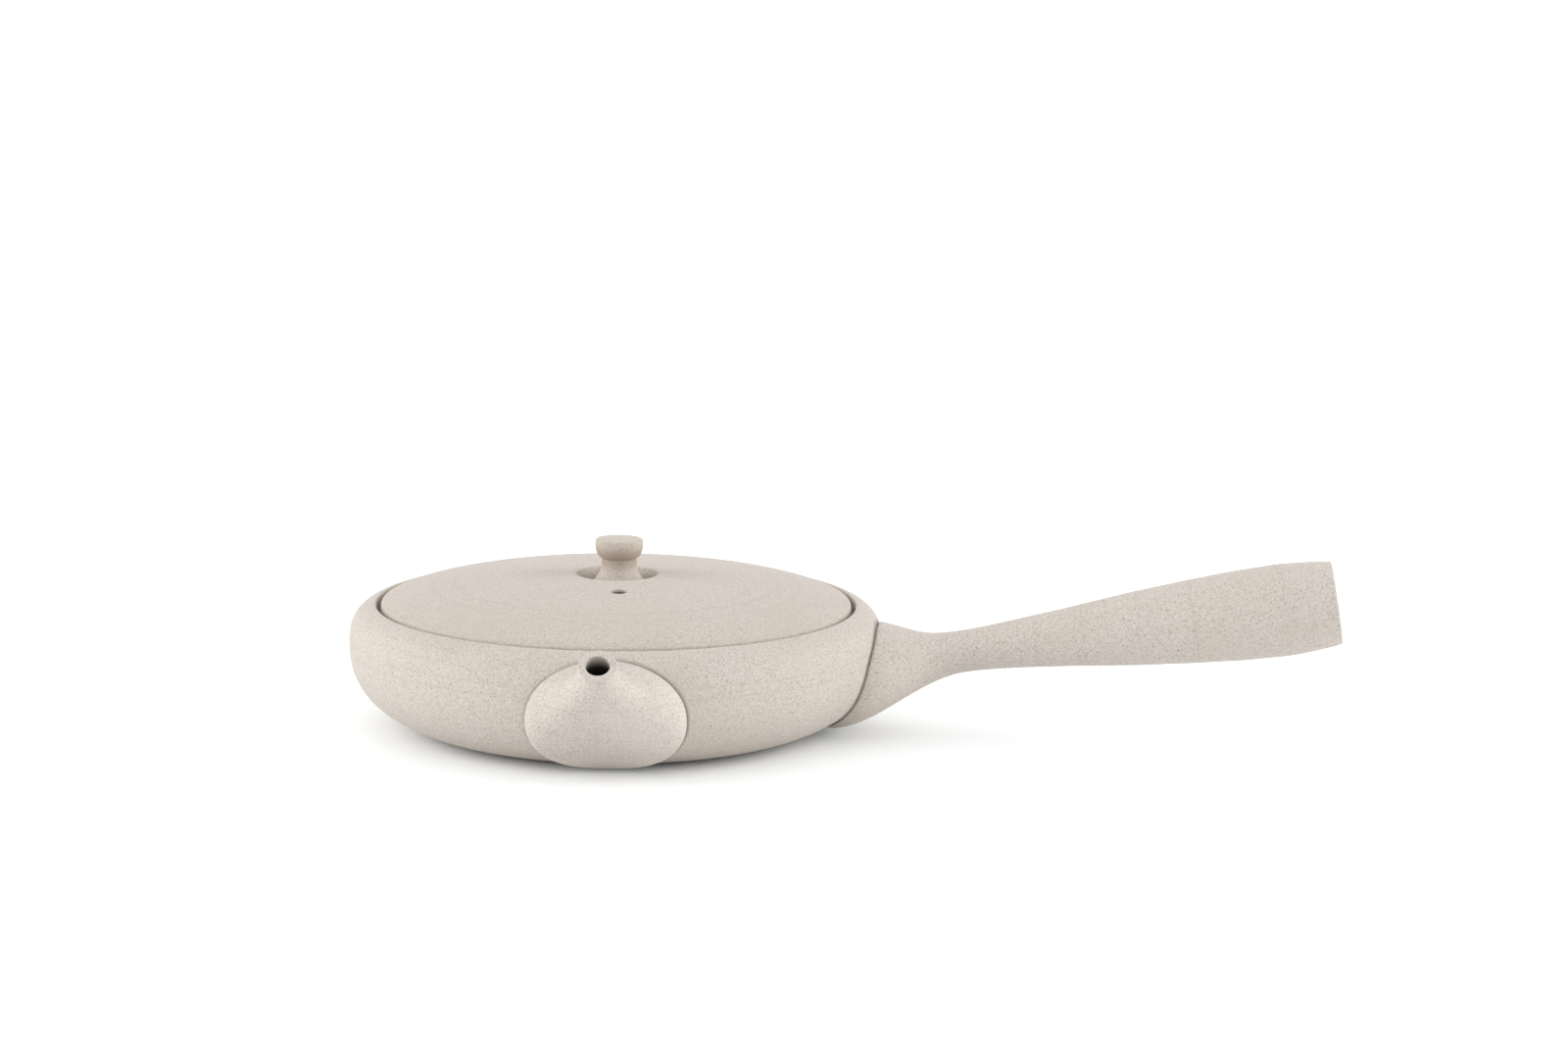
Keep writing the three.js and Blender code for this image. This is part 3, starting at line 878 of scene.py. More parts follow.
@dataclass
class Pot:
    """The thrown bowl: floor, wall, rim, mouth and the ledge that carries the lid."""

    form: BodyForm
    mouth_radius: float = 60.3 * MM
    rim_round: float = 0.6 * MM
    wall: float = 3.0 * MM
    floor: float = 3.2 * MM
    floor_inset: float = 1.5 * MM
    ledge_height: float = 27.6 * MM
    ledge_radius: float = 55.5 * MM
    ledge_thickness: float = 2.8 * MM
    ledge_fillet: float = 3.2 * MM
    outlet_size: tuple[float, float] = (12.1 * MM, 7.4 * MM)
    outlet_cut: tuple[float, float] = (-18.0 * MM, 3.0 * MM)
    outlet_columns: int = 64
    foot_round: float = 0.7 * MM
    rim_width: float = 1.3 * MM
    rim_drop: float = 0.12 * MM
    ledge_round: float = 0.6 * MM
    underside_round: float = 0.9 * MM
    outline_rows: int = 48
    wall_rows: int = 34
    fillet_rows: int = 8
    stray: float = 0.09 * MM
    columns: int = 256

    @property
    def ledge_underside(self) -> float:
        """Height of the top of the room inside."""
        return self.ledge_height - self.ledge_thickness

    @property
    def outlet_height(self) -> float:
        """Height of the middle of the opening behind the spout."""
        return (self.floor + self.ledge_underside) / 2

    def cavity(self, shrink: float) -> Profile:
        """Outline of the room inside, from its floor's edge to the ledge.

        Args:
            shrink: How far the outline is drawn in all round.

        Returns:
            Radius and height of each point.
        """
        belly = (self.form.belly_radius - self.wall - shrink, self.form.belly_height)
        top = self.ledge_underside - shrink
        foot = (self.form.base_radius - self.floor_inset, self.floor + shrink)
        wall = quarter(belly, foot, self.form.lower_powers, self.wall_rows)[::-1]
        fillet = quarter(belly, (belly[0] - self.ledge_fillet, top), ELLIPSE, self.fillet_rows)
        return [*wall, *fillet[1:]]

    def profile(self) -> Profile:
        """Closed section of the bowl, from the middle of the base to the middle of the floor.

        Returns:
            Radius and height of each point.
        """
        form = self.form
        shoulder = self.mouth_radius + self.rim_width
        outside = [
            p for p in form.outline(self.outline_rows)
            if self.foot_round < p[1] < form.belly_height or (p[1] > self.foot_round and p[0] > shoulder)
        ]
        base = rounded([(0.0, 0.0, 0.0), (form.base_radius, 0.0, self.foot_round), (*outside[0], 0.0)])
        room = self.cavity(0.0)[::-1]
        rim = rounded([
            (*outside[-1], 0.0),
            (self.mouth_radius, form.rim_height - self.rim_drop, self.rim_round),
            (self.mouth_radius, self.ledge_height, self.ledge_round),
            (self.ledge_radius, self.ledge_height, self.ledge_round),
            (self.ledge_radius, self.ledge_underside, self.underside_round),
            (*room[0], 0.0),
        ])
        return refined([*base[:-1], *outside, *rim[1:], *room[1:], (0.0, self.floor)])

    def build(self, spout: "Spout") -> bpy.types.Object:
        """Turn the bowl and pierce its wall behind the spout.

        Args:
            spout: The spout, for the way it points.

        Returns:
            The bowl.
        """
        bowl = turned("thrown_bowl", self.profile(), self.columns, self.stray)
        rows = [
            spout.level_ring(
                self.form.belly_radius + reach, self.outlet_height, self.outlet_size, self.outlet_columns)
            for reach in self.outlet_cut
        ]
        pin = mesh_object("outlet_cutter", np.concatenate(rows), pin_faces(self.outlet_columns))
        pierce(bowl, pin)
        return bowl


@dataclass
class SaddleTube:
    """Hollow trumpet whose wide root is luted to the body's wall."""

    root: Root
    wall: float
    leave: float
    dip: float
    arrive: float
    lip_height: float
    groove_gap: float
    groove_depth: float
    waist_depth: float
    waist_place: float
    waist_spread: float
    blend_rows: int = 0
    blend_passes: int = 60
    flare_rows: int = 56
    flare_crowding: float = 1.15
    lip_rows: int = 13
    lip_squareness: float = 0.75
    columns: int = 144

    def level_ring(self, reach: float, height: float, size: tuple[float, float], count: int) -> np.ndarray:
        """Upright ellipse that faces out from the body; its values are those of ring()."""
        return self.ring(reach, height, 0.0, size, 0.0, count)

    def ring(
        self, reach: float, height: float, rise: float, size: tuple[float, float],
        drift: float = 0.0, count: int = 0,
    ) -> np.ndarray:
        """Ellipse square to a rising direction, in the upright plane of the root's middle.

        Args:
            reach: Distance of its middle from the body's axis.
            height: Height of its middle.
            rise: Slope of the direction that it is square to.
            size: Half its width and half its height.
            drift: How far its middle lies beside the plane.
            count: Number of points, or 0 for the tube's own.

        Returns:
            The points, one a row.
        """
        angles = np.arange(count or self.columns) * 2 * math.pi / (count or self.columns)
        up = np.array(UP) * math.cos(rise) - self.root.out * math.sin(rise)
        middle = self.root.out * reach + self.root.side * drift + np.array(UP) * height
        across = (size[0] * np.cos(angles))[:, None] * self.root.side
        return middle + across + (size[1] * np.sin(angles))[:, None] * up

    def trunk(self) -> tuple[np.ndarray, float, float]:
        """Rings from the flare's end to the free end, and the slopes at both."""
        raise NotImplementedError

    def wall_at(self, share: float) -> float:
        """Thickness of the wall at a share of the way from the root to the free end."""
        return self.wall

    def tube(self, name: str) -> bpy.types.Object:
        """Closed mesh: root groove, outer skin, lip and bore.

        Args:
            name: The object's name.

        Returns:
            The new object.
        """
        trunk, first_slope, last_slope = self.trunk()
        start = self.root.ring(self.columns, self.root.proud)
        leave = self.root.climbing(-self.dip, self.leave)
        arrive = self.root.climbing(first_slope, self.arrive)
        t = (np.linspace(0, 1, self.flare_rows) ** self.flare_crowding)[:, None, None]
        poles = (start, start + leave, trunk[0] - arrive, trunk[0])
        weights = ((1 - t) ** 3, 3 * t * (1 - t) ** 2, 3 * t ** 2 * (1 - t), t ** 3)
        flare = sum(w * p for w, p in zip(weights, poles))
        skin = self._blended(np.concatenate([flare, trunk[1:]]))
        normal = self._normals(skin)
        walls = np.array([self.wall_at(k / (len(skin) - 1)) for k in range(len(skin))])
        bore = skin - normal * walls[:, None, None]
        skin = skin - normal * self._waist(skin)
        outside = np.concatenate([self._groove(), skin, self._lip(skin[-1], bore[-1], last_slope)])
        grid = np.concatenate([outside, bore[::-1]])
        obj = mesh_object(name, grid.reshape(-1, 3), band_faces(len(grid), self.columns, closed=True))
        mark_bore(obj, np.repeat(np.arange(len(grid)) >= len(outside), self.columns))
        return obj

    def _blended(self, skin: np.ndarray) -> np.ndarray:
        """Smooth the skin lengthwise where the flare runs into the trunk.

        Args:
            skin: The skin's rows.

        Returns:
            The smoothed rows.
        """
        if not self.blend_rows:
            return skin
        share = ease(1 - np.abs(np.arange(len(skin)) - self.flare_rows) / self.blend_rows)[:, None, None]
        for _ in range(self.blend_passes):
            middle = (np.roll(skin, 1, axis=0) + 2 * skin + np.roll(skin, -1, axis=0)) / 4
            skin = skin + share * (middle - skin)
        return skin

    def _groove(self) -> np.ndarray:
        """Rows under the root's edge, which turn in over the wall and leave a narrow dark groove.

        Returns:
            The rows, from the innermost, sunk in the wall, to the one just under the root's edge.
        """
        gap, depth = self.groove_gap, self.groove_depth
        middle = (gap + self.root.proud) / 2
        # How far each row lies proud of the wall, and how far inside the root's edge
        stations = (
            (-0.3 * MM, depth + 0.2 * MM),
            (0.5 * gap, depth),
            (gap, 0.75 * depth),
            (gap, 0.3 * depth),
            (gap + 0.06 * MM, 0.08 * depth),
            (gap + 0.16 * MM, 0.0),
            (middle + 0.1 * MM, 0.0),
        )
        return np.stack([self.root.ring(self.columns, proud, inset) for proud, inset in stations])

    def _normals(self, skin: np.ndarray) -> np.ndarray:
        """Outward normals at the skin's points.

        Args:
            skin: The skin's rows.

        Returns:
            The normals, one long.
        """
        along = np.gradient(skin, axis=0)
        around = np.roll(skin, -1, axis=1) - np.roll(skin, 1, axis=1)
        normal = np.cross(around, along)
        return normal / np.linalg.norm(normal, axis=2, keepdims=True)

    def _waist(self, skin: np.ndarray) -> np.ndarray:
        """Depth of the shallow waist that sets the lip off from the tube.

        Args:
            skin: The skin's rows.

        Returns:
            The depth at each point.
        """
        stretches = np.linalg.norm(np.diff(skin, axis=0), axis=2)
        left = np.concatenate([np.cumsum(stretches[::-1], axis=0)[::-1], np.zeros((1, skin.shape[1]))])
        off_waist = (left - self.waist_place) / self.waist_spread
        return self.waist_depth * np.exp(-(off_waist ** 2))[:, :, None]

    def _lip(self, outer: np.ndarray, inner: np.ndarray, slope: float) -> np.ndarray:
        """Rounded rows over the free end, from the skin to the bore.

        Args:
            outer: Last row of the skin.
            inner: Last row of the bore.
            slope: Slope of the tube there.

        Returns:
            The lip's rows.
        """
        onward = self.root.climbing(slope, self.lip_height)
        rows = []
        for k in range(1, self.lip_rows + 1):
            angle = math.pi * k / (self.lip_rows + 1)
            level = math.copysign(abs(math.cos(angle)) ** self.lip_squareness, math.cos(angle))
            swell = onward * math.sin(angle) ** self.lip_squareness
            rows.append(outer + (inner - outer) * (1 - level) / 2 + swell)
        return np.stack(rows)


@dataclass
class Spout(SaddleTube):
    """Short trumpet spout with a small round mouth."""

    wall: float = 2.6 * MM
    leave: float = 7.0 * MM
    dip: float = math.radians(8)
    arrive: float = 10.0 * MM
    lip_height: float = 0.25 * MM
    groove_gap: float = 0.25 * MM
    groove_depth: float = 0.5 * MM
    waist_depth: float = 0.34 * MM
    waist_place: float = 1.3 * MM
    waist_spread: float = 0.6 * MM
    tip_reach: float = 82.52 * MM
    tip_height: float = 32.19 * MM
    tip_rise: float = math.radians(50)
    tip_drift: float = -1.1 * MM
    tip_radius: float = 4.5 * MM
    bore_radius: float = 2.8 * MM
    # Depth at which the painted shade inside the tip is at its darkest
    shade_reach: float = 4.5 * MM

    def trunk(self) -> tuple[np.ndarray, float, float]:
        """The tip's ring alone, because the flare runs right up to it.

        Returns:
            The ring, and the tip's slope twice.
        """
        size = (self.tip_radius, self.tip_radius)
        tip = self.ring(self.tip_reach, self.tip_height, self.tip_rise, size, self.tip_drift)
        return tip[None], self.tip_rise, self.tip_rise

    def wall_at(self, share: float) -> float:
        """Thickness of the wall, which thins towards the tip."""
        return self.wall + (self.tip_radius - self.bore_radius - self.wall) * share

    @property
    def bore(self) -> PaintedHoleShade:
        """Painted shade inside the tip.

        Returns:
            The shade.
        """
        mouth = self.root.out * self.tip_reach + self.root.side * self.tip_drift
        inward = self.root.climbing(self.tip_rise, -1.0)
        return PaintedHoleShade((mouth[0], mouth[1], self.tip_height), tuple(inward), self.shade_reach)


@dataclass
class Handle(SaddleTube):
    """Long hollow handle that swells from a thin neck to its open end."""

    wall: float = 2.5 * MM
    leave: float = 8.0 * MM
    dip: float = math.radians(11)
    arrive: float = 8.0 * MM
    lip_height: float = 0.48 * MM
    groove_gap: float = 0.45 * MM
    groove_depth: float = 0.6 * MM
    waist_depth: float = 0.16 * MM
    waist_place: float = 0.0
    waist_spread: float = 0.9 * MM
    # Knots of the centre line, in millimetres out from the belly and up from the root's middle
    line: tuple[tuple[float, float], ...] = (
        (18.9, 6.7), (33.0, 9.25), (53.0, 12.6), (76.4, 16.5), (99.3, 20.3), (111.8, 22.5),
    )
    lean: float = math.radians(9.5)
    neck_radius: float = 5.2 * MM
    swell_radius: float = 11.45 * MM
    swell_power: float = 1.12
    swell_share: float = 0.795
    end_radius: float = 10.5 * MM
    trunk_rows: int = 130
    blend_rows: int = 20
    stray: float = 0.10 * MM
    ripples: tuple[float, float] = (23.0, 61.0)
    # Depth and strength of the painted shade inside the open end
    shade_reach: float = 50.0 * MM
    shade_darkest: float = 0.9

    @property
    def bore(self) -> PaintedHoleShade:
        """Painted shade inside the open end.

        Returns:
            The shade.
        """
        reach, height = self._centre(1.0)
        mouth = self.root.out * reach
        inward = tuple(self.root.climbing(self._slope(1.0), -1.0))
        return PaintedHoleShade((mouth[0], mouth[1], height), inward, self.shade_reach, self.shade_darkest)

    def _centre(self, t: float) -> np.ndarray:
        """A point of the smooth curve through the centre line's knots.

        Args:
            t: Share of the way from the neck to the end.

        Returns:
            Its reach and height.
        """
        origin = np.array([self.root.form.belly_radius, self.root.height])
        knots = np.array(self.line) * MM + origin
        place = t * (len(knots) - 1)
        first = min(int(place), len(knots) - 2)
        w = place - first
        p0, p1 = knots[max(first - 1, 0)], knots[first]
        p2, p3 = knots[first + 1], knots[min(first + 2, len(knots) - 1)]
        v0, v1 = (p2 - p0) / 2, (p3 - p1) / 2
        cubic = 2 * p1 - 2 * p2 + v0 + v1
        square = -3 * p1 + 3 * p2 - 2 * v0 - v1
        return cubic * w ** 3 + square * w ** 2 + v0 * w + p1

    def _slope(self, t: float, apart: float = 1e-4) -> float:
        """Slope of the centre line, from two points a little apart."""
        step = self._centre(min(t + apart, 1.0)) - self._centre(max(t - apart, 0.0))
        return math.atan2(step[1], step[0])

    def _radius(self, t: float) -> float:
        """Radius of the handle, with the slight unevenness of hand-throwing.

        Args:
            t: Share of the way from the neck to the end.

        Returns:
            The radius.
        """
        swollen = float(ease(t / self.swell_share)) ** self.swell_power
        narrowed = float(ease((t - self.swell_share) / (1 - self.swell_share)))
        radius = self.neck_radius + (self.swell_radius - self.neck_radius) * swollen
        radius -= (self.swell_radius - self.end_radius) * narrowed
        uneven = 0.5 + 0.25 * sum(math.sin(ripple * t) for ripple in self.ripples)
        return radius - self.stray * uneven * ease(4 * t * (1 - t))

    def trunk(self) -> tuple[np.ndarray, float, float]:
        """Rings from the neck to the open end.

        Returns:
            The rings, and the slopes at the neck and at the end.
        """
        rings = []
        for k in range(self.trunk_rows + 1):
            t = k / self.trunk_rows
            reach, height = self._centre(t)
            radius = self._radius(t)
            rings.append(self.ring(reach, height, self._slope(t), (radius, radius)))
        return np.stack(rings), self._slope(0.0), self._slope(1.0)


@dataclass
class Strainer:
    """Half-dome of clay on the inside of the wall, pierced with rings of small holes."""

    pot: Pot
    spout: Spout
    half_width: float = 16.5 * MM
    headroom: float = 1.2 * MM
    bulge: float = 9.5 * MM
    wall: float = 1.8 * MM
    sink: float = 1.2 * MM
    hole_diameter: float = 1.5 * MM
    hole_rings: int = 3
    holes_a_ring: int = 6
    margin: float = 2.6 * MM
    holes_lift: float = 0.65 * MM
    gap: float = 0.12 * MM
    backing: float = 3.0 * MM
    drill_past: float = 1.0 * MM
    dome_rows: int = 30
    dome_columns: int = 112
    hole_columns: int = 16
    room_columns: int = 160

    @property
    def half_height(self) -> float:
        """Half the dome's height, which fills the wall between the floor and the ledge."""
        return (self.pot.ledge_underside - self.pot.floor) / 2 - self.headroom

    @property
    def reach(self) -> float:
        """Distance of the dome's flat face from the body's axis."""
        return self.pot.form.belly_radius - self.pot.wall - self.sink

    def _dome(self, name: str, inset: float) -> bpy.types.Object:
        """Closed half of an ellipsoid, with its flat face towards the wall.

        Args:
            name: The object's name.
            inset: How far it lies inside the dome's own skin.

        Returns:
            The new object.
        """
        rows, columns = self.dome_rows, self.dome_columns
        points = []
        for k in range(rows):
            fall = math.pi / 2 * (k + 1) / rows
            width = (self.half_width - inset) * math.sin(fall)
            height = (self.half_height - inset) * math.sin(fall)
            centre = self.reach - (self.bulge - inset) * math.cos(fall)
            points.append(self.spout.level_ring(centre, self.pot.outlet_height, (width, height), columns))
        back = points[-1] + self.spout.root.out * self.backing
        tip = self.reach - self.bulge + inset
        pole = self.spout.level_ring(tip, self.pot.outlet_height, (0.0, 0.0), 1)
        grid = np.concatenate([*points, back, pole])
        faces = band_faces(rows + 1, columns)
        faces += [(len(grid) - 1, (i + 1) % columns, i) for i in range(columns)]
        faces.append(tuple(range(rows * columns, (rows + 1) * columns)))
        return mesh_object(name, grid, faces)

    def _drills(self) -> bpy.types.Object:
        """One mesh of all the pins that pierce the dome.

        Returns:
            The new object.
        """
        edge = self.wall + self.margin
        centres = [(0.0, 0.0)]
        for k in range(1, self.hole_rings + 1):
            share = k / self.hole_rings
            size = ((self.half_width - edge) * share, (self.half_height - edge) * share)
            count = self.holes_a_ring * k
            for i in range(count):
                angle = 2 * math.pi * i / count
                centres.append((size[0] * math.cos(angle), size[1] * math.sin(angle)))
        radius = self.hole_diameter / 2
        points, faces = [], []
        for across, up in centres:
            faces += pin_faces(self.hole_columns, len(points) * self.hole_columns)
            for reach in (self.reach - 3 * self.bulge, self.reach + self.drill_past):
                height = self.pot.outlet_height + self.holes_lift + up
                disc = self.spout.level_ring(reach, height, (radius, radius), self.hole_columns)
                points.append(disc + self.spout.root.side * across)
        return mesh_object("drills", np.concatenate(points), faces)

    def build(self) -> bpy.types.Object:
        """Hollow the dome, fit it to the wall and pierce it.

        Returns:
            The strainer.
        """
        dome = self._dome("pierced_strainer", 0.0)
        pierce(dome, self._dome("hollow", self.wall))
        low, high = self.pot.floor + self.gap, self.pot.ledge_underside - self.gap
        room = turned("room", [(0.0, low), *self.pot.cavity(self.gap), (0.0, high)], self.room_columns)
        pierce(dome, room, "INTERSECT")
        pierce(dome, self._drills())
        return dome


@dataclass
class Lid:
    """Domed lid with a rounded edge, a well round the knob, a flange underneath and a steam hole."""

    pot: Pot
    crown_height: float = 38.6 * MM
    fall: float = 5.22 * MM
    shoulder_fall: float = 1.79 * MM
    wall: float = 3.0 * MM
    play: float = 1.1 * MM
    seat_gap: float = 0.3 * MM
    edge_round: float = 1.3 * MM
    flange_play: float = 1.2 * MM
    flange_depth: float = 6.1 * MM
    flange_wall: float = 2.8 * MM
    well_radius: float = 10.4 * MM
    well_floor_radius: float = 8.4 * MM
    well_depth: float = 3.1 * MM
    shift: float = 0.5 * MM
    steam_diameter: float = 3.8 * MM
    steam_offset: float = 22.2 * MM
    steam_soft: float = 0.25 * MM
    # Depth and strength of the painted shade inside the steam hole
    steam_reach: float = 0.9 * MM
    steam_darkest: float = 0.88
    steam_columns: int = 56
    well_lip: float = 1.3 * MM
    well_round: float = 1.6 * MM
    well_edge_round: float = 0.8 * MM
    # Strength of the painted shade in the well
    well_darkest: float = 0.65
    boss_width: float = 5.0 * MM
    boss_round: float = 2.5 * MM
    flange_round: float = 0.8 * MM
    corner_width: float = 4.0 * MM
    corner_round: float = 1.2 * MM
    edge_width: float = 1.9 * MM
    top_rows: int = 54
    below_rows: int = 30
    steepest: float = 0.8
    stray: float = 0.05 * MM
    columns: int = 256

    def dome(self, radius: float) -> float:
        """Height of the dome at a radius."""
        share = radius / (self.pot.mouth_radius - self.play)
        return self.crown_height - self.fall * share ** 2 - self.shoulder_fall * share ** 8

    def well_floor(self) -> float:
        """Height of the floor of the well."""
        return self.dome(self.well_radius) - self.well_depth

    def _span(self, start: float, stop: float, steps: int, depth: float) -> Profile:
        """Points of the dome between two radii, some way below its top."""
        radii = [start + (stop - start) * k / steps for k in range(steps + 1)]
        return [(r, self.dome(r) - depth) for r in radii]

    def profile(self) -> Profile:
        """Closed section of the lid, from the well's floor round to the underside.

        Returns:
            Radius and height of each point.
        """
        edge = self.pot.mouth_radius - self.play
        seat = self.pot.ledge_height + self.seat_gap
        flange = self.pot.ledge_radius - self.flange_play
        inner = flange - self.flange_wall
        corner = inner - self.corner_width
        foot = self.pot.ledge_height - self.flange_depth
        lip = self.well_radius + self.well_lip
        well_edge = (self.well_radius - 0.2 * MM, self.dome(self.well_radius) - 0.05 * MM)
        well = rounded([
            (0.0, self.well_floor(), 0.0),
            (self.well_floor_radius, self.well_floor(), self.well_round),
            (*well_edge, self.well_edge_round),
            (lip, self.dome(lip), 0.0),
        ])
        top = self._span(lip, edge - self.edge_width, self.top_rows, 0.0)
        rim = rounded([
            (*top[-1], 0.0),
            (edge - 0.1 * MM, self.dome(edge) - 0.25 * MM, self.edge_round),
            (edge, seat, 0.4 * MM),
            (flange, seat, 0.3 * MM),
            (flange, foot, self.flange_round),
            (inner, foot, self.flange_round),
            (inner, self.dome(inner) - self.wall, self.corner_round),
            (corner, self.dome(corner) - self.wall, 0.0),
        ])
        below = self._span(corner, self.well_radius + self.boss_width, self.below_rows, self.wall)
        boss = rounded([
            (*below[-1], 0.0),
            (self.well_radius, self.well_floor() - self.wall, self.boss_round),
            (0.0, self.well_floor() - self.wall, 0.0),
        ])
        return refined([*well, *top[1:], *rim[1:], *below[1:], *boss[1:]])

    def _steam_profile(self) -> Profile:
        """Closed section of the steam hole's cutter, which widens softly at both mouths.

        Returns:
            Radius and height of each point.
        """
        radius, soft = self.steam_diameter / 2, self.steam_soft
        top = self.dome(self.steam_offset)
        below = top - self.wall
        clear, wide = 3 * MM, radius + 2 * soft
        return refined([
            (0.0, below - clear),
            (wide, below - clear),
            (wide, below - 0.1 * MM),
            (radius + 0.4 * soft, below + 0.15 * MM),
            (radius, below + 0.5 * MM),
            (radius, top - 0.7 * MM),
            (radius + 0.25 * soft, top - 0.35 * MM),
            (radius + soft, top + 0.05 * MM),
            (wide, top + clear),
            (0.0, top + clear),
        ], 1 * MM)

    def build(self) -> bpy.types.Object:
        """Turn the lid and pierce its steam hole.

        Returns:
            The lid, with the faces inside the steam hole marked.
        """
        lid = turned("domed_lid", self.profile(), self.columns, self.stray)
        cutter = turned("steam_cutter", self._steam_profile(), self.steam_columns)
        cutter.data.transform(Matrix.Translation((self.shift, -self.steam_offset, 0.0)))
        pierce(lid, cutter)
        reach = self.steam_diameter / 2 + 1.1 * self.steam_soft
        mark_bore(lid, [
            math.hypot(face.center.x - self.shift, face.center.y + self.steam_offset) < reach
            and abs(face.normal.z) < self.steepest for face in lid.data.polygons
        ])
        return lid

    @property
    def hollow(self) -> PaintedHoleShade:
        """Painted shade in the well round the knob."""
        mouth = (0.0, 0.0, self.dome(self.well_radius) - 0.3 * MM)
        return PaintedHoleShade(mouth, DOWN, self.well_depth, self.well_darkest, self.well_radius + 0.4 * MM)

    @property
    def bore(self) -> PaintedHoleShade:
        """Painted shade inside the steam hole."""
        mouth = (self.shift, -self.steam_offset, self.dome(self.steam_offset))
        return PaintedHoleShade(mouth, DOWN, self.steam_reach, self.steam_darkest)


@dataclass
class Knob:
    """Small turned knob: flared foot, waisted neck and a bowl-shaped cap with a nearly flat top."""

    lid: Lid
    cap_radius: float = 6.05 * MM
    height: float = 11.8 * MM
    cap_height: float = 5.1 * MM
    neck_radius: float = 4.4 * MM
    foot_radius: float = 7.1 * MM
    foot_flare: float = 4.6 * MM
    flare_power: float = 1.45
    cap_drop: float = 1.6 * MM
    cap_round: float = 1.7 * MM
    neck_round: float = 0.5 * MM
    foot_edge: float = 0.3 * MM
    flare_rows: int = 18
    bowl_rows: int = 18
    neck_rows: int = 5
    crown_steps: int = 12
    gap: float = 0.3 * MM
    sink: float = 0.02 * MM
    columns: int = 144

    def build(self) -> bpy.types.Object:
        """Turn the knob and stand it on the floor of the lid's well.

        Returns:
            The knob.
        """
        foot = self.lid.well_floor() - self.sink
        top = self.lid.well_floor() + self.height + self.gap
        cap = top - self.cap_height
        flare = []
        for k in range(self.flare_rows + 1):
            t = k / self.flare_rows
            spread = (self.foot_radius - self.neck_radius) * (1 - t) ** self.flare_power
            flare.append((self.neck_radius + spread, foot + self.foot_edge + self.foot_flare * t))
        widest = (self.cap_radius, top - self.cap_drop)
        bowl = quarter(widest, (self.neck_radius - 0.3 * MM, cap), ELLIPSE, self.bowl_rows)[::-1]
        cap_edge = (self.cap_radius - 0.08 * MM, top - 0.20 * MM)
        crown = rounded([(*widest, 0.0), (*cap_edge, self.cap_round), (0.0, top, 0.0)], self.crown_steps)
        throat = (self.neck_radius, cap + 0.03 * MM)
        neck = rounded([(*flare[-1], 0.0), (*throat, self.neck_round), (*bowl[self.neck_rows], 0.0)])
        cap_side = bowl[self.neck_rows + 1:]
        corners = [(0.0, foot), (self.foot_radius, foot), *flare, *neck[1:], *cap_side, *crown[1:]]
        knob = turned("turned_knob", refined(corners, 0.7 * MM), self.columns)
        knob.data.transform(Matrix.Translation((self.lid.shift, 0.0, 0.0)))
        return knob


@dataclass(frozen=True)
class PhotoCamera:
    """Camera at the photograph's viewing angle."""

    lens: float = 75.0
    sensor: float = 36.0
    distance: float = 809.9 * MM
    height: float = 189.7 * MM
    yaw: float = 0.05169
    pitch: float = 0.16876
    roll: float = 0.01483

    def build(self) -> bpy.types.Object:
        """Place the camera and make it the scene's.

        Returns:
            The camera.
        """
        forward = Vector((math.sin(self.yaw), math.cos(self.yaw), 0.0))
        ahead = forward * math.cos(self.pitch) - Vector(UP) * math.sin(self.pitch)
        level = Vector((math.cos(self.yaw), -math.sin(self.yaw), 0.0))
        upright = level.cross(ahead)
        right = level * math.cos(self.roll) + upright * math.sin(self.roll)
        up = upright * math.cos(self.roll) - level * math.sin(self.roll)
        data = bpy.data.cameras.new("photo_camera")
        data.lens = self.lens
        data.sensor_width = self.sensor
        data.clip_start = 0.01
        turn = Matrix((right, up, -ahead)).transposed().to_4x4()
        camera = placed("photo_camera", data, Matrix.Translation((0.0, -self.distance, self.height)) @ turn)
        bpy.context.scene.camera = camera
        return camera


@dataclass(frozen=True)
class SoftBox:
    """One large soft lamp that points at the pot."""

    name: str
    place: tuple[float, float, float]
    size: float
    power: float
    target: tuple[float, float, float] = (0.03, 0.0, 0.02)

    def build(self) -> bpy.types.Object:
        """Hang the lamp and aim it at the pot.

        Returns:
            The lamp.
        """
        data = bpy.data.lights.new(self.name, "AREA")
        data.shape = "DISK"
        data.size = self.size
        data.energy = self.power
        aim = Vector(self.target) - Vector(self.place)
        turn = aim.to_track_quat("-Z", "Y").to_matrix().to_4x4()
        return placed(self.name, data, Matrix.Translation(self.place) @ turn)


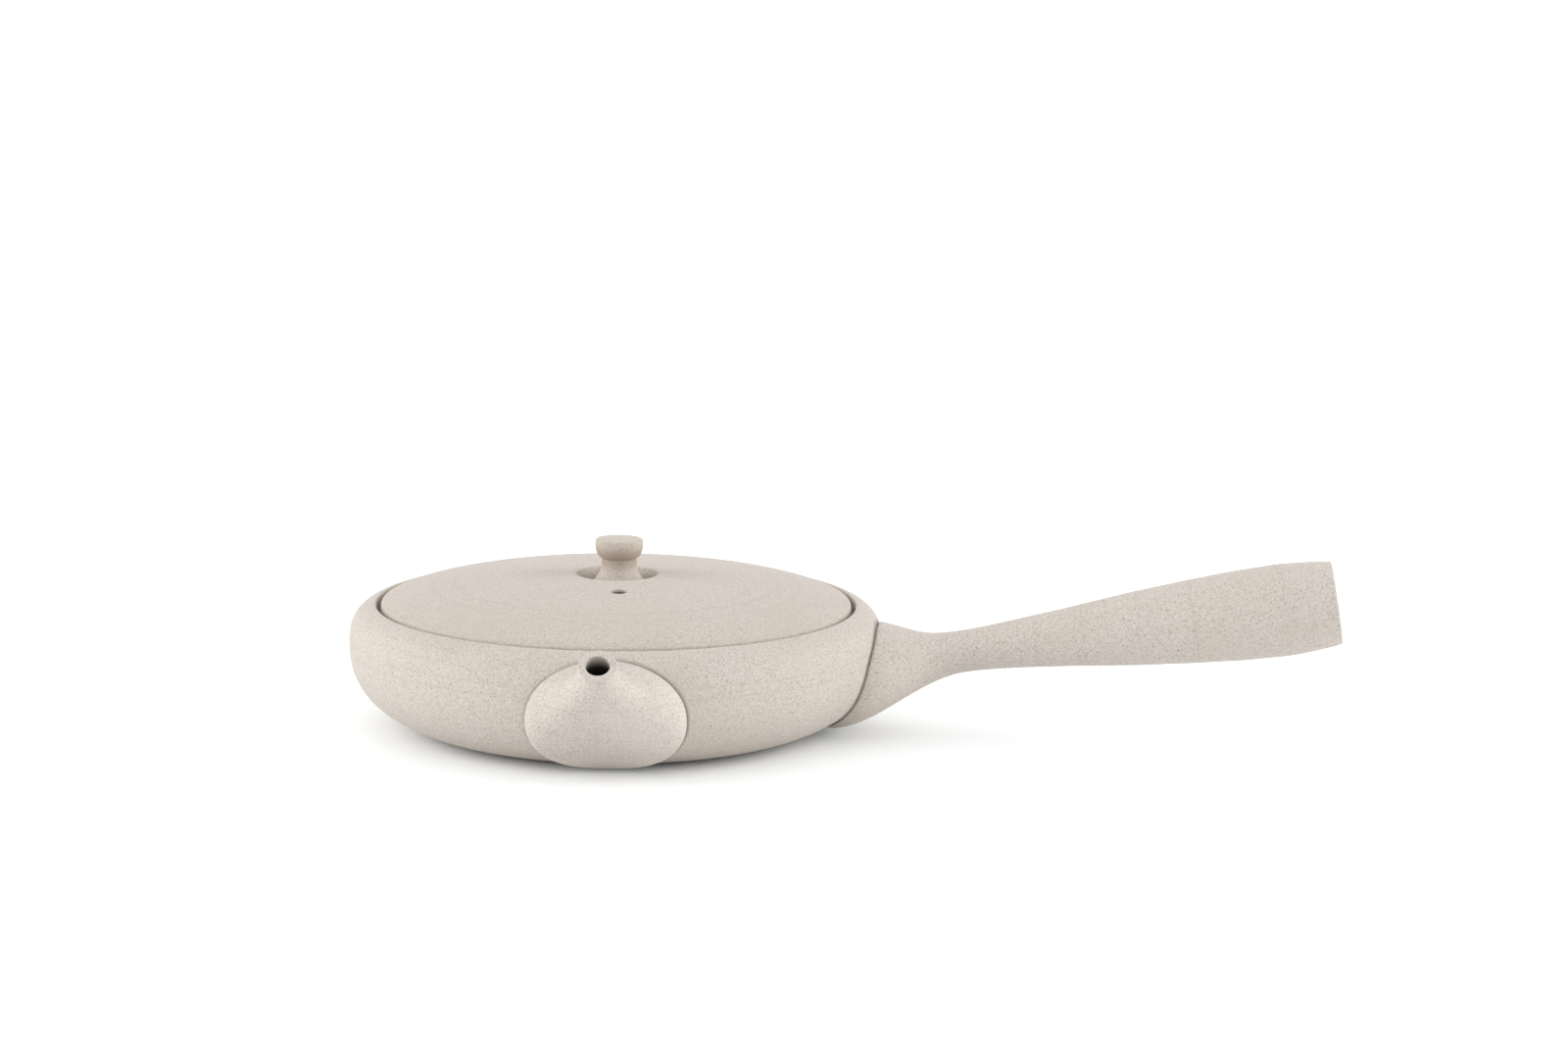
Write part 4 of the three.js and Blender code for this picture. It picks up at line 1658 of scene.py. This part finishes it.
@dataclass
class Studio:
    """Plain white floor, a white world and a soft lamp on either side."""

    floor_colour: Colour = (0.950, 0.962, 0.968)
    floor_half: float = 30.0
    # Painted light on the floor: a camera-only glow that rises with distance from the pot's axis
    glow_foot: tuple[float, float] = (44 * MM, 58 * MM)
    glow_around: tuple[float, float] = (88 * MM, 260 * MM)
    glow_colour: Colour = (0.92, 1.0, 1.01)
    glow_low: float = 0.185
    glow_high: float = 0.30
    world_light: float = 0.86
    lamps: tuple[SoftBox, ...] = (
        SoftBox("left", (-1.4, -0.1, 0.5), 1.0, 10.0),
        SoftBox("right", (1.4, -0.1, 0.5), 1.0, 9.6),
    )

    def build(self) -> None:
        """Make the floor, the world, the lamps and the camera."""
        self._floor()
        self._world()
        for lamp in self.lamps:
            lamp.build()
        PhotoCamera().build()

    def _floor(self) -> None:
        """Lay a floor that is seen as plain white away from the pot's own shadow. Its glow, seen by the
        camera but lighting nothing, is painted light that grows with distance from the pot's axis and lifts
        and fades out the pot's shadow.
        """
        half = self.floor_half
        corners = [(-half, -half, 0), (half, -half, 0), (half, half, 0), (-half, half, 0)]
        mesh = bpy.data.meshes.new("studio_floor")
        mesh.from_pydata(corners, [], [(0, 1, 2, 3)])
        floor = placed("studio_floor", mesh)
        kit = NodeKit(bpy.data.materials.new("studio_floor"))
        diffuse = kit.add("ShaderNodeBsdfDiffuse")
        diffuse.inputs["Color"].default_value = (*self.floor_colour, 1.0)
        away = kit.from_axis(kit.add("ShaderNodeTexCoord").outputs["Object"])
        foot = kit.step(away, *self.glow_foot, high=self.glow_low)
        around = kit.step(away, *self.glow_around, high=self.glow_high)
        glow = kit.add("ShaderNodeEmission")
        glow.inputs["Color"].default_value = (*self.glow_colour, 1.0)
        kit.link(kit.product(kit.math("ADD", foot, around), kit.seen()), glow.inputs["Strength"])
        both = kit.add("ShaderNodeAddShader")
        kit.link(diffuse.outputs[0], both.inputs[0])
        kit.link(glow.outputs[0], both.inputs[1])
        kit.finish(both.outputs[0])
        mesh.materials.append(kit.holder)

    def _world(self) -> None:
        """White world: a soft fill on the pot, and plain white where it is seen."""
        kit = NodeKit(bpy.data.worlds.new("studio_world"))
        bpy.context.scene.world = kit.holder
        glow = kit.add("ShaderNodeBackground")
        glow.inputs["Color"].default_value = (1.0, 1.0, 1.0, 1.0)
        kit.link(kit.step(kit.seen(), 0.0, 1.0, self.world_light, 1.0), glow.inputs["Strength"])
        kit.link(glow.outputs[0], kit.add("ShaderNodeOutputWorld").inputs["Surface"])


@dataclass
class Teapot:
    """The whole pot: builds its pieces, dresses them and sets each on its body."""

    form: BodyForm = field(default_factory=BodyForm)

    def build(self) -> None:
        """Make every piece in the order in which a potter would join them."""
        # The spout's seam line is stronger towards +X, as painted shadow
        spout_root = Root(
            self.form, turn=math.radians(-92.2), half_width=18.95 * MM,
            foot=0.45 * MM, headroom=1.75 * MM, seam_stain_and_shadow=(0.22, 0.60),
        )
        handle_root = Root(
            self.form, turn=math.radians(-9), half_width=17.9 * MM, foot=1.4 * MM, headroom=3.6 * MM,
        )
        spout, handle = Spout(spout_root), Handle(handle_root)
        pot = Pot(self.form)
        lid = Lid(pot)
        thrown = ClayFinish("clay_body", Lines.ROUND_AXIS, joints=(spout_root, handle_root))
        # The spout's band is painted light: a pale tint that brightens its underside low down, as bounced
        # light from the floor would
        upright = ClayFinish(
            "clay_spout", Lines.ROUND_AXIS, ground=(0.632, 0.572, 0.516), pale_grain=(0.810, 0.762, 0.712),
            mottle_and_painted_light=(0.800, 0.735, 0.670), painted_light_top=(7.0 * MM, 0.0), painted_light_share=0.95,
        )
        along = tuple(handle_root.climbing(handle.lean, 1.0))
        pulled = ClayFinish("clay_handle", Lines.ROUND_AXIS, axis=along, ground=(0.632, 0.574, 0.518))
        # The lid's ground is a little darker than the body's, painted shade that offsets the sheen's light on
        # its top
        flat = ClayFinish(
            "clay_lid", Lines.ROUND_CENTRE, hollow=lid.hollow, ground=(0.586, 0.527, 0.472),
            pale_grain=(0.735, 0.685, 0.632), line_spacing=3.0 * MM,
        )
        # The knob's band is painted shade: a dark tint round the cap's underside and the top of the neck,
        # shaded by the cap. Its ground matches the lid's darker ground
        handled = ClayFinish(
            "clay_knob", Lines.ROUND_AXIS, ground=(0.586, 0.525, 0.468), pale_grain=(0.690, 0.632, 0.575),
            mottle_and_painted_light=(0.375, 0.300, 0.238), painted_light_top=(46.6 * MM, 43.6 * MM),
            painted_light_foot=(38.6 * MM, 42.6 * MM), painted_light_share=0.70, relief=0.03 * MM,
        )
        inside = ClayFinish(
            "clay_strainer", Lines.ROUND_AXIS, ground=(0.560, 0.490, 0.425), pale_grain=(0.690, 0.630, 0.570),
        )
        self._settle(pot.build(spout), "pot_body", "pot", thrown)
        self._settle(spout.tube("trumpet_spout"), "spout", "pot", upright, spout.bore)
        self._settle(Strainer(pot, spout).build(), "strainer", "pot", inside)
        self._settle(handle.tube("trumpet_handle"), "handle", "pot", pulled, handle.bore)
        self._settle(lid.build(), "lid", "lid", flat, lid.bore)
        self._settle(Knob(lid).build(), "knob", "lid", handled)

    def _settle(
        self, piece: bpy.types.Object, node: str, body: str, finish: ClayFinish,
        bore: PaintedHoleShade | None = None,
    ) -> None:
        """Dress a piece and tie it to the frame.

        Args:
            piece: The finished mesh.
            node: The frame's node that it stands for.
            body: The body that it rides on.
            finish: Its finish.
            bore: The painted shade inside its hole.
        """
        # A copy of the finish with painted shade, for the faces inside the hole
        shaded = replace(finish, name=finish.name + "_bore", bore=bore).material() if bore else None
        dress(piece, finish.material(), shaded)
        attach(piece, body)
        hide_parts(node)
        LOG.info("%s: %d faces on %s", piece.name, len(piece.data.polygons), body)


def main() -> None:
    """Build the studio and the teapot, and report each piece."""
    logging.basicConfig(level=logging.INFO, format="%(name)s %(message)s")
    bpy.context.scene.view_settings.view_transform = "Standard"
    Studio().build()
    Teapot().build()


if __name__ == "__main__":
    main()
